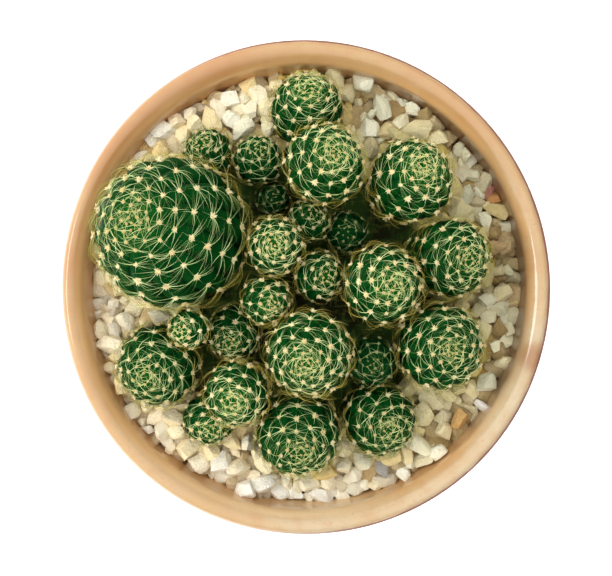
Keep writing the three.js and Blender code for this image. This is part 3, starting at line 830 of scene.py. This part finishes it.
def model_tuft():
    """A felt cushion about 2 across with a star of wool, standing on z = 0."""
    bpy.ops.mesh.primitive_ico_sphere_add(subdivisions=1, radius=0.62)
    start_edit(bpy.context.object, "tuft")
    bpy.ops.mesh.select_all(action="SELECT")
    bpy.ops.transform.resize(value=(1, 1.15, 0.72), center_override=(0, 0, 0))
    bpy.ops.transform.translate(value=(0, 0, 0.12))
    for k in range(WOOL_CONES):
        turn = k * GOLDEN_ANGLE
        rise = 0.05 + 0.9 * (k % 4) / 3
        way = Vector((math.cos(turn), math.sin(turn), rise)).normalized()
        middle = way * (0.52 + 0.05 * (k % 3)) + Vector((0, 0, 0.1))
        bpy.ops.mesh.primitive_cone_add(
            vertices=4, radius1=0.33, radius2=0.05, depth=0.62 + 0.13 * (k % 3),
            location=middle, rotation=way.to_track_quat("Z", "Y").to_euler())
    return end_edit()


tuft_points, tuft_faces = pattern_of(model_tuft())
print("a tuft has", len(tuft_faces), "faces")

# %% [markdown]
# Spines grow out of each areole, mostly to both sides of the rib like the teeth of two combs, with
# a few along the rib. They start out steeply and bend down until they lie nearly along the skin,
# reaching over the next rib. A spine is modelled once, as a thin three-sided needle extruded in
# four lengths, or in three for the small heads. Each copy is then bent along a curve of its own:
# the needle's height says how far along the curve a vertex goes. Hair curves would look finer but
# are left out of an exported model.

# %% Needle
def model_needle(lengths):
    """A needle with its root at z = 0 and its tip at z = 1, and a thickness of 2 at the root."""
    bpy.ops.mesh.primitive_circle_add(vertices=3, radius=1)
    start_edit(bpy.context.object, "needle")
    bpy.ops.mesh.select_all(action="SELECT")
    was = 1.0
    for k in range(1, lengths):
        width = 1 - (k / lengths) ** 1.6
        bpy.ops.mesh.extrude_region_move(TRANSFORM_OT_translate={"value": (0, 0, 1 / lengths)})
        share = width / was
        bpy.ops.transform.resize(value=(share, share, 1), center_override=(0, 0, k / lengths))
        was = width
    bpy.ops.mesh.extrude_region_move(TRANSFORM_OT_translate={"value": (0, 0, 1 / lengths)})
    bpy.ops.mesh.merge(type="CENTER")
    bpy.ops.mesh.select_all(action="SELECT")
    bpy.ops.mesh.normals_make_consistent(inside=False)
    return end_edit()


needle_points, needle_faces = pattern_of(model_needle(4))
short_points, short_faces = pattern_of(model_needle(3))
print("a needle has", len(needle_faces), "faces and a short one", len(short_faces))

# %% [markdown]
# A spine must not run into a neighbouring head, the bowl or the stones. Testing against every face
# would be slow. Instead each head is filled with balls, one for every few rings. A point in a
# foreign ball is blocked, and the distance to the nearest foreign ball says how hemmed in it is.

# %% Clear of the neighbours
STONE_LEVEL = 70.5
WALL_FROM = 88.5
WALL_PROFILE = [88.5, 90.5, 92, 95, 98, 100], [60, 77, 79.6, 81, 79.5, 76]  # radii and heights
HEMMED_IN_FROM = 7


def filling_of(stations):
    """The balls that fill each head: their middles and radii, one for each station."""
    rings = [head.rings(stations) for head in heads]
    return [(middles, radii) for middles, _, radii in rings]


def balls_of(fillings, owner=None):
    """The middle and radius of every ball in every head but the owner."""
    for head, (middles, radii) in zip(heads, fillings):
        if head is not owner:
            yield from zip(middles, radii)


head_filling = filling_of(np.array([0, 0.12, 0.25, 0.4, 0.55, 0.7, 0.85, 1.0]))


def in_the_way(owner, points):
    """True for each point in mm that lies in another head, in the bowl's wall or in the stones."""
    blocked = points[:, 2] < STONE_LEVEL
    for middle, radius in balls_of(head_filling, owner):
        blocked |= ((points - middle) ** 2).sum(axis=1) < (radius + 0.4) ** 2
    out = np.hypot(points[:, 0], points[:, 1])
    return blocked | ((out > WALL_FROM) & (points[:, 2] < np.interp(out, *WALL_PROFILE)))


def hemmed_in(owner, points):
    """1 for a point in mm that touches another head, falling to 0 at 7 mm from all of them."""
    gap = np.full(len(points), float(HEMMED_IN_FROM))
    for middle, radius in balls_of(head_filling, owner):
        gap = np.minimum(gap, np.linalg.norm(points - middle, axis=1) - radius)
    return 1 - np.clip(gap, 0, HEMMED_IN_FROM) / HEMMED_IN_FROM


# %% [markdown]
# Every tuft and every spine is placed by the directions at its areole: straight out of the skin, up
# the rib towards the tip, and across the rib. They come from the form itself, as differences
# between places that lie close together. How far up an areole faces matters too, because one that
# faces sideways or down is painted duller, as shade.

# %% Directions at every areole
def areole_frames(head):
    """Each areole's place, its directions outward, up the rib and across it, how far the middle of
    the body lies behind it, and how low it faces, from -1 on top to 2."""
    angles = head.areole_rib * math.tau / head.ribs
    stations = head.station_at(head.areole_length)
    above = head.points(head.station_at(head.areole_length - 0.4), angles)
    below = head.points(head.station_at(head.areole_length + 0.4), angles)
    beside = head.points(stations, angles + 0.02)
    place = head.points(stations, angles)
    middles, _, radii = head.rings(stations)
    up = unit(above - below)
    out = unit(np.cross(beside - place, up))
    out *= np.sign(((place - middles) * out).sum(axis=1) + 1e-9)[:, None]
    place = place - head.axis * tip_dip(head, head.areole_length)[:, None]
    girth = np.maximum(radii, 0.5 * head.radius)[:, None]
    low = np.clip(1.1 - out[:, 2] / 0.45, -1, 2)
    return place, out, up, np.cross(out, up), girth, low


def tuft_copies(head, frames, young):
    """The tuft's points at every areole, in mm. Young tufts and those of shaded heads are small."""
    place, out, up, across, *_ = frames
    size = (1.0 + 0.035 * head.radius) * (1 - 0.55 * young)
    size = size * (0.75 + 0.4 * head.random.random(len(place))) * (1 - 0.35 * head.shade)
    spin = head.random.random(len(place)) * math.tau
    first = up * np.cos(spin)[:, None] + across * np.sin(spin)[:, None]
    second = np.cross(out, first)
    axes = np.stack([first, second, out], axis=1) * size[:, None, None]
    return tuft_points[None] @ axes + (place + out * 0.25)[:, None]


# %% [markdown]
# A spine's curve has three points: its root, a pull that gives the steep start, and its end, which
# hovers over the skin. The spines of one side fan out evenly, with a little disorder, and turn half
# way back as they bend. Where the end or the middle is blocked, a shorter spine is tried, and left
# out if that doesn't help. Spines are also thinned out at the crowded tip, on small and shaded
# heads and low down, as they are in the photograph.

# %% Curves of the spines
FAN, FAN_DISORDER = math.radians(104), math.radians(22)
SHORTER = (1.0, 0.72, 0.5)


def spine_curves(head, frames, young):
    """Start, pull and end points of every spine's curve in mm, how young its areole is, its tone,
    and its painted shade from facing low or being hemmed in."""
    spines = 16 if head.large else 12
    place, out, up, across, girth = (np.repeat(part, spines, axis=0) for part in frames[:5])
    low, fresh = np.repeat(frames[5], spines), np.repeat(young, spines)
    count = len(place)
    swerve, steep, long, bend, rise, tone, thinning = head.random.random((7, count))

    order = np.tile(np.arange(spines), count // spines)
    along_rib = order >= spines - 2
    rank = np.where(along_rib, 0.5, (order // 2 + 0.5) / (spines / 2 - 1))
    turned = np.where(along_rib, math.pi / 2, 0) + (order % 2) * math.pi
    fan = (rank - 0.5) * FAN + (swerve - 0.5) * FAN_DISORDER
    bent = fan * 0.5 + (bend - 0.5) * 0.3 + turned
    fan = fan + turned
    lift = np.radians(18 + 34 * steep + 14 * fresh)
    length = (4.4 + 0.22 * head.radius) * (0.56 + 0.6 * long) * (1 - 0.35 * fresh)
    length = length * np.where(along_rib, 0.6, 1.0)
    sparse = (0.6 if head.large else 0.45) * fresh + (0.2 if head.small else 0)
    sparse = sparse + (0 if head.large else 0.35) * np.maximum(low, 0)
    thinned = thinning > 0.93 - sparse - 0.4 * head.shade

    def over_skin(turn):
        return across * np.cos(turn)[:, None] + up * np.sin(turn)[:, None]

    start = place + out * 0.1
    lifted = over_skin(fan) * np.cos(lift)[:, None] + out * np.sin(lift)[:, None]
    hub = place - out * girth
    clear = (0.35 + length * np.sin(lift) * (0.35 + 0.35 * rise))[:, None]
    curves, kept = [start.copy() for _ in range(3)], np.zeros(count, bool)
    for share in SHORTER:
        reach = (length * share)[:, None]
        pull = start + lifted * reach * 0.5
        end = hub + unit(start + over_skin(bent) * reach - hub) * (girth + clear)
        middle = (start + 2 * pull + end) / 4
        fits = ~(kept | thinned | in_the_way(head, end) | in_the_way(head, middle))
        for curve, better in zip(curves, (start, pull, end)):
            curve[fits] = better[fits]
        kept |= fits
    # painted shade: darker for spines that face low or are hemmed in by other heads
    painted_shade = low - (0.4 if head.large else 0)
    painted_shade = painted_shade + 0.9 * hemmed_in(head, curves[2]) * (1 - fresh)
    return [curve[kept] for curve in curves], fresh[kept], tone[kept], painted_shade[kept]


# %% [markdown]
# Now everything grows. The needle's points are moved along each curve, and its thickness is laid
# square to the way that the curve runs. A head's tufts are one piece and its spines another, and
# both leave out the areoles that the stones or a neighbour hide.

# %% Grow the tufts and the spines
LOWEST_AREOLE = 71


def spine_copies(head, frames, young, pattern):
    """The needle's points along every curve, in mm, and the values that colour each spine."""
    (start, pull, end), fresh, tone, painted_shade = spine_curves(head, frames, young)
    t = pattern[:, 2][None, :, None]
    start, pull, end = (part[:, None] for part in (start, pull, end))
    line = (1 - t) ** 2 * start + 2 * t * (1 - t) * pull + t * t * end
    way = unit((1 - t) * (pull - start) + t * (end - pull))
    first = unit(np.cross(way, np.array([0.31, 0.17, 0.93])))
    second = np.cross(way, first)
    thick = (0.094 - 0.0008 * head.radius) * ((0.45 + 1.15 * tone) * (1 + 0.2 * fresh))[:, None, None]
    x, y = pattern[:, 0][None, :, None], pattern[:, 1][None, :, None]
    return line + thick * (x * first + y * second), fresh, tone, painted_shade


def grow(head):
    """The tufts and the spines of one head."""
    frames = areole_frames(head)
    seen = (frames[0][:, 2] > LOWEST_AREOLE) & ~in_the_way(head, frames[0] + frames[1] * 0.3)
    frames = [part[seen] for part in frames]
    young = np.exp(-((head.areole_length[seen] / (0.42 * head.radius)) ** 2))
    # painted shade for the felt: facing low, and hemmed in by other heads
    low = frames[5] + hemmed_in(head, frames[0])
    fuzz = np.clip(np.linalg.norm(tuft_points, axis=1) / 1.3, 0, 1)
    copies = tuft_copies(head, frames, young)
    tone = head.random.random(len(young))
    tufts = mesh_of_copies(
        f"tufts_{head.number:02d}", copies * MM, tuft_faces,
        {"young": young[:, None], "fuzz": fuzz[None], "shade": head.shade, "low": low[:, None],
         "tone": tone[:, None]})
    pattern, faces = (short_points, short_faces) if head.small else (needle_points, needle_faces)
    copies, fresh, tone, painted_shade = spine_copies(head, frames, young, pattern)
    spines = mesh_of_copies(
        f"spines_{head.number:02d}", copies * MM, faces,
        {"young": fresh[:, None], "tone": tone[:, None], "low": painted_shade[:, None],
         "along": pattern[:, 2][None], "shade": head.shade})
    return tufts, spines, (len(young), len(tone))


tuft_pieces, spine_pieces, counts = zip(*(grow(head) for head in heads))
print("areoles that can be seen, spines:", np.sum(counts, axis=0))

# %% [markdown]
# The wool of an old areole is cream with rusty flecks, that of a young one at the tip golden. Low
# on the flanks and between the heads it is painted duller, as shade, and on shaded heads greenish,
# as deep painted shade.

# %% Felt
felt = Finish("cream_felt")
names = ("young", "tone", "fuzz", "low", "shade")
young, tone, fuzz, low, shade = (felt.attribute(name) for name in names)
rust = felt.noise(0.9 * MM, detail=1)
colour = felt.layered(
    (0.77, 0.60, 0.27),
    (tone, (0.88, 0.775, 0.44)),
    (fuzz.between(0.3, 0.9) * 0.4, (0.88, 0.87, 0.63)),
    (rust.between(0.5, 0.68) * 0.5, (0.54, 0.29, 0.07)),
    (young * 0.7, (0.56, 0.40, 0.10)),
    # painted shade: low and hemmed-in felt is painted duller, and shaded heads' felt greenish
    (low.between(0.3, 1.4) * 0.55, (0.40, 0.28, 0.06)),
    (shade * 0.9, (0.09, 0.17, 0.04)),
)
cream_felt = felt.surface(Base_Color=colour, Roughness=0.9, Specular_IOR_Level=0.05,
                          Normal=felt.bump(felt.noise(0.3 * MM), 0.1 * MM, 0.6))
print("felt:", len(felt.tree.nodes), "nodes")

# %% [markdown]
# A spine is pale where it catches light and more golden towards its tip, and no two are quite the
# same, so each carries a tone of its own, from green straw to cream. On the flanks and where another
# head hems them in, spines are painted golden brown, and the lowest olive, as painted shade, and on
# shaded heads they are painted dark green.

# %% Straw spines
straw = Finish("straw_spines")
names = ("young", "tone", "along", "low", "shade")
young, tone, along, low, shade = (straw.attribute(name) for name in names)
colour = straw.layered(
    (0.045, 0.21, 0.018),
    (tone**1.3, (0.86, 0.97, 0.46)),
    (along.between(0.4, 1.0) * 0.3, (0.30, 0.26, 0.05)),
    (young * 0.6, (0.70, 0.76, 0.30)),
    # painted shade: flank spines golden brown, the lowest and hemmed-in olive, shaded heads' dark green
    (low.between(-0.45, 0.5) * 0.85, (0.44, 0.31, 0.035)),
    (low.between(0.9, 1.7) * 0.85, (0.08, 0.14, 0.015)),
    (shade * 0.9, (0.04, 0.09, 0.015)),
)
straw_spines = straw.surface(Base_Color=colour, Roughness=0.5, Specular_IOR_Level=0.05)

for tufts, spines in zip(tuft_pieces, spine_pieces):
    tufts.data.materials.append(cream_felt)
    spines.data.materials.append(straw_spines)
    for piece in (tufts, spines):
        smooth_by_angle(piece, 70)
        finished(piece, "cactus")

# %% [markdown]
# The stone chips are broken, tumbled marble: blocky, with flat faces and worn edges. One is made
# from a cube by cutting its corners off with tilted planes. Corners that end up close together are
# merged, and what is left is subdivided with a little fractal roughness and smoothed, which wears
# the edges. A dozen different ones are enough, because every copy is turned and scaled in its own
# way.

# %% Stone chips
STONE_KINDS, CUTS = 12, 14
chance = np.random.default_rng(7)


def model_stone(number):
    bpy.ops.mesh.primitive_cube_add(size=2)
    start_edit(bpy.context.object, f"stone_{number}")
    for _ in range(CUTS):
        way = Vector(chance.normal(size=3)).normalized()
        distance = 0.62 + 0.28 * chance.random()
        bpy.ops.mesh.select_all(action="SELECT")
        bpy.ops.mesh.bisect(plane_co=way * distance, plane_no=way, use_fill=True, clear_outer=True)
    bpy.ops.mesh.select_all(action="SELECT")
    bpy.ops.mesh.remove_doubles(threshold=0.06)
    bpy.ops.mesh.quads_convert_to_tris()
    bpy.ops.mesh.subdivide(number_cuts=1, fractal=1.1, seed=number)
    bpy.ops.mesh.vertices_smooth(factor=0.3, repeat=1)
    return end_edit()


stone_patterns = [pattern_of(model_stone(number)) for number in range(STONE_KINDS)]
print("faces of the stones:", [len(faces) for _, faces in stone_patterns])

# %% [markdown]
# Poured gravel packs itself: stones slide down until they rest on others. A rigid body simulation
# would do it, slowly. A short settling of balls does it in a second or two: the balls fall a
# little, are pushed apart where they overlap, and are kept inside the wall, on the soil and out of
# the heads. Which balls are close to each other is looked up only at every eighth step, because
# that takes the longest.

# %% Settle the gravel
STONES = 1120
BARE_MIDDLE, POURED_OUT_TO = 40, 86
FALLING_STEPS, RESTING_STEPS, LOOK_UP_EVERY = 170, 50, 8
WALL_TOP = [(89.7, 72.8), LIP_INSIDE]

neck_filling = filling_of(np.linspace(0, 1.2, 14))
wall_radii, wall_heights = zip(*reversed(inside_wall), *WALL_TOP)


def push_out_of_heads(balls, sizes):
    for middle, radius in balls_of(neck_filling):
        apart = balls - middle
        distance = np.linalg.norm(apart, axis=1)
        push = np.clip(radius + sizes * 0.8 - distance, 0, None) / (distance + 1e-6)
        balls[:, :2] += apart[:, :2] * push[:, None]


def settle(balls, sizes):
    """Lets balls, as rows of x, y, z in mm, fall and push each other apart until they rest."""
    for step in range(FALLING_STEPS + RESTING_STEPS):
        if step % LOOK_UP_EVERY == 0:
            apart = balls[:, None] - balls[None]
            close = (apart**2).sum(axis=2) < (sizes[:, None] + sizes[None] + 1.5) ** 2
            first, second = np.nonzero(np.triu(close, 1))
        balls[:, 2] -= 0.2 if step < FALLING_STEPS else 0.04
        apart = balls[first] - balls[second]
        distance = np.linalg.norm(apart, axis=1) + 1e-6
        overlap = np.clip(0.9 * (sizes[first] + sizes[second]) - distance, 0, None)
        push = apart * (overlap / distance * 0.4)[:, None]
        np.add.at(balls, first, push)
        np.add.at(balls, second, -push)
        push_out_of_heads(balls, sizes)
        balls[:, 2] = np.maximum(balls[:, 2], SOIL_TOP + 0.6 * sizes)
        limit = np.interp(balls[:, 2], wall_heights, wall_radii) - 0.64 * sizes
        out = np.hypot(balls[:, 0], balls[:, 1])
        kept_out = np.clip(out, BARE_MIDDLE, np.maximum(limit, 0))
        balls[:, :2] *= (kept_out / np.maximum(out, 1e-6))[:, None]


sizes = 1.9 + 2.1 * chance.random(STONES) ** 1.6
spread = POURED_OUT_TO**2 - BARE_MIDDLE**2
spot = np.sqrt(BARE_MIDDLE**2 + chance.random(STONES) * spread)
turn = chance.random(STONES) * math.tau
balls = np.stack([spot * np.cos(turn), spot * np.sin(turn), 66 + 10 * chance.random(STONES)], axis=1)
settle(balls, sizes)
print(STONES, "balls settled between", balls[:, 2].min().round(1), "and", balls[:, 2].max().round(1), "mm")

# %% [markdown]
# Not every ball becomes a stone. Those that were squeezed up too high are left out, and so are
# those inside the ring of the outer heads, where the photograph shows soil and shade. A point lies
# inside a ring when a line from it crosses the ring an odd number of times.

# %% Leave out what doesn't fit
STONE_REACH = 0.72  # share of a ball's radius that its stone reaches up
HIGHEST_STONE = 73.6
OUTER_HEADS = (1, 22, 21, 2, 4, 5, 7, 9, 10, 23, 12, 13)

tops = balls[:, 2] + STONE_REACH * sizes
ring = [heads[number - 1].root[:2] for number in OUTER_HEADS]
crossings = np.zeros(len(balls), int)
for (x0, y0), (x1, y1) in zip(ring, ring[1:] + ring[:1]):
    level = (y0 > balls[:, 1]) != (y1 > balls[:, 1])
    crossings += level & (balls[:, 0] < x0 + (balls[:, 1] - y0) * (x1 - x0) / (y1 - y0 + 1e-9))
kept = (tops < HIGHEST_STONE) & (crossings % 2 == 0)
balls, sizes = balls[kept], sizes[kept]
print(len(balls), "stones, tops up to", round(float(tops[kept].max()), 1), "mm")

# %% [markdown]
# Most stones are creamy white; some are warmer, some grey. Close to a head they are painted more
# golden and, on the right, darker, as painted glow and shade from its spines; between two heads they
# are painted dark, as shade; and they are painted brighter to the left and duller towards the right,
# where they face away from the light, as painted light and shade. On the right beside the head there
# they are painted darker and browner, as its shadow, and they are whiter along the lower edge. Stones
# that lie under others are painted darker and browner, as the shade in the bed's crevices. A few
# stand out in the photograph, such as a red one and an orange one on the right, so the stone that
# lies nearest to each of those spots is given that colour. Where a colour gets brighter than paint
# can be, it is scaled down as a whole, so that its hue stays.

# %% Colour the stones
STONE_COLOURS = [  # linear red, green, blue, and how many in a hundred
    ((0.94, 0.85, 0.63), 36), ((0.92, 0.79, 0.53), 26), ((0.95, 0.89, 0.73), 20),
    ((0.80, 0.64, 0.38), 7), ((0.82, 0.77, 0.60), 7), ((0.82, 0.64, 0.32), 4),
]
ODD_STONES = [  # place in mm, and colour
    ((76.7, 43.8), (0.48, 0.20, 0.15)), ((78.0, 34.8), (0.62, 0.30, 0.10)),
    ((60.3, -54.2), (0.60, 0.35, 0.12)), ((33.5, -73.6), (0.40, 0.38, 0.34)),
    ((70.6, -47.6), (0.86, 0.82, 0.74)), ((-8.5, 87.5), (0.74, 0.52, 0.16)),
    ((82.9, 19.5), (0.50, 0.37, 0.18)), ((80.0, 12.9), (0.52, 0.36, 0.17)),
    ((85.0, 12.9), (0.42, 0.30, 0.14)), ((85.4, -1.9), (0.45, 0.32, 0.15)),
]
BRIGHTEST_PAINT = 0.96

weights = np.array([weight for _, weight in STONE_COLOURS], float)
picked = chance.choice(len(STONE_COLOURS), len(balls), p=weights / weights.sum())
tints = np.array([STONE_COLOURS[k][0] for k in picked])
tints *= 0.9 + 0.2 * chance.random((len(balls), 1))

x, y = balls[:, 0], balls[:, 1]
from_heads = np.array([np.hypot(*(balls[:, :2] - head.middle[:2]).T) - head.radius for head in heads])
nearest, second_nearest = np.sort(from_heads, axis=0)[:2]
# painted glow and shade: stones near a head are yellower, and darker on the right
glow_and_shade_near_heads = np.clip(1 - (nearest - 1) / 7, 0, 1) ** 1.5
# painted shade: stones between two heads are darker
painted_shade_between_heads = np.clip(1 - (second_nearest - 1) / 8, 0, 1) * np.clip((62 - np.hypot(x, y)) / 8, 0, 1)
# painted light and shade: stones brighter to the left, duller to the right
painted_side_light = np.clip(0.5 + (x + y * 0.2) / 110, 0, 1)
white = np.clip(-y / 40 - 1 - np.abs(x - 10) / 60, 0, 1)
# painted shadow: stones right of the head there are darker and browner
painted_shadow_right = np.clip((x - 62) / 18, 0, 1) * np.clip(1 - np.abs(y - 8) / 34, 0, 1)
tints *= 1 - glow_and_shade_near_heads[:, None] * ((0.06, 0.12, 0.34) + painted_side_light[:, None] * (0.13, 0.15, 0.18))
tints *= 1 - painted_shade_between_heads[:, None] * (0.55, 0.42, 0.60)
tints *= 1.24 - painted_side_light[:, None] * (0.33, 0.30, 0.40)
tints *= 1 + white[:, None] * (0, 0.03, 0.14)
tints *= 1 - painted_shadow_right[:, None] * (0.28, 0.32, 0.42)
tints *= np.minimum(1, BRIGHTEST_PAINT / tints.max(axis=1))[:, None]

sideways = np.linalg.norm(balls[:, None, :2] - balls[None, :, :2], axis=2)
beside = sideways < 0.95 * (sizes[:, None] + sizes[None])
highest_beside = np.where(beside, balls[None, :, 2] - balls[:, None, 2], 0).max(axis=1)
# painted shade: stones lower than their neighbours are darker in the crevices
painted_crevice_shade = np.clip((highest_beside - 2.6) / 1.6, 0, 1) * (0.55 + 0.55 * painted_side_light)
tints *= 1 - painted_crevice_shade[:, None] * (0.46, 0.56, 0.68)

for place, tint in ODD_STONES:
    away = np.hypot(*(balls[:, :2] - place).T) - balls[:, 2] + 2 * sizes
    tints[np.argmin(away)] = tint
print("mean colour of the stones:", tints.mean(axis=0).round(2))

# %% [markdown]
# Now every ball becomes a stone. Each gets its own turn, a small tilt and its own proportions, a
# little longer than wide and flatter than both. All stones are one mesh, and each carries its
# colour as an attribute.

# %% Lay the stones
def turning(count):
    """Random small tilts and any turn about Z, as rows of 3 x 3 matrices."""
    spin = chance.random(count) * math.tau
    tilt = chance.normal(size=(2, count)) * 0.5
    made = []
    for s, a, b in zip(spin, *tilt):
        about_z = np.array([[math.cos(s), math.sin(s), 0], [-math.sin(s), math.cos(s), 0], [0, 0, 1]])
        about_x = np.array([[1, 0, 0], [0, math.cos(a), math.sin(a)], [0, -math.sin(a), math.cos(a)]])
        about_y = np.array([[math.cos(b), 0, math.sin(b)], [0, 1, 0], [-math.sin(b), 0, math.cos(b)]])
        made.append(about_z @ about_x @ about_y)
    return np.array(made)


STONE_SCALE = 1.27  # from a ball's radius to a stone's
turns = turning(len(balls))
lengths = 1.04 + 0.42 * chance.random(len(balls)) ** 2
widths = 0.86 + 0.24 * chance.random(len(balls))
depths = 0.66 + 0.2 * chance.random(len(balls))
shapes = np.stack([lengths, widths, depths], axis=1)
vertices, faces, colours, start = [], [], [], 0
for n, (ball, size) in enumerate(zip(balls, sizes)):
    points, sides = stone_patterns[n % STONE_KINDS]
    vertices.append((points * shapes[n] * size * STONE_SCALE) @ turns[n] + ball)
    faces += [tuple(start + corner for corner in face) for face in sides]
    colours.append(np.tile([*tints[n], 1], (len(points), 1)))
    start += len(points)
mesh = bpy.data.meshes.new("chips")
mesh.from_pydata((np.concatenate(vertices) * MM).tolist(), [], faces)
paint = mesh.attributes.new("tint", "FLOAT_COLOR", "POINT")
paint.data.foreach_set("color", np.concatenate(colours).ravel())
gravel = bpy.data.objects.new("chips", mesh)
bpy.context.collection.objects.link(gravel)
smooth_by_angle(gravel, 38)

# %% [markdown]
# Broken marble is dull and sugary, with ochre clouds where iron has stained it. The noise that
# speckles the colour also roughens the faces.

# %% Marble
marble = Finish("marble_chips")
cloud = marble.noise(5 * MM, detail=4, roughness=0.6)
grain = marble.noise(0.9 * MM, detail=3, roughness=0.7)
colour = marble.layered(
    marble.attribute("tint", "Color"),
    (cloud.between(0.55, 0.8) * 0.32, (0.78, 0.60, 0.36)),
    (grain.between(0.52, 0.74) * 0.27, (0.66, 0.50, 0.29)),
)
gravel.data.materials.append(
    marble.surface(Base_Color=colour, Roughness=0.8, Specular_IOR_Level=0.35,
                   Normal=marble.bump(grain + cloud * 2, 0.9 * MM, 1.0))
)
finished(gravel, "stone_chips", "gravel")

# %% [markdown]
# At the end the finished object is measured, and its box and the solid model's are written down
# side by side. It must keep to the size of the solid model.

# %% Measure and finish
dressed_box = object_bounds()
for name, box in (("solid", solid_box), ("dressed", dressed_box)):
    print(name, "box in mm:", [[round(side * 1000, 2) for side in corner] for corner in box])
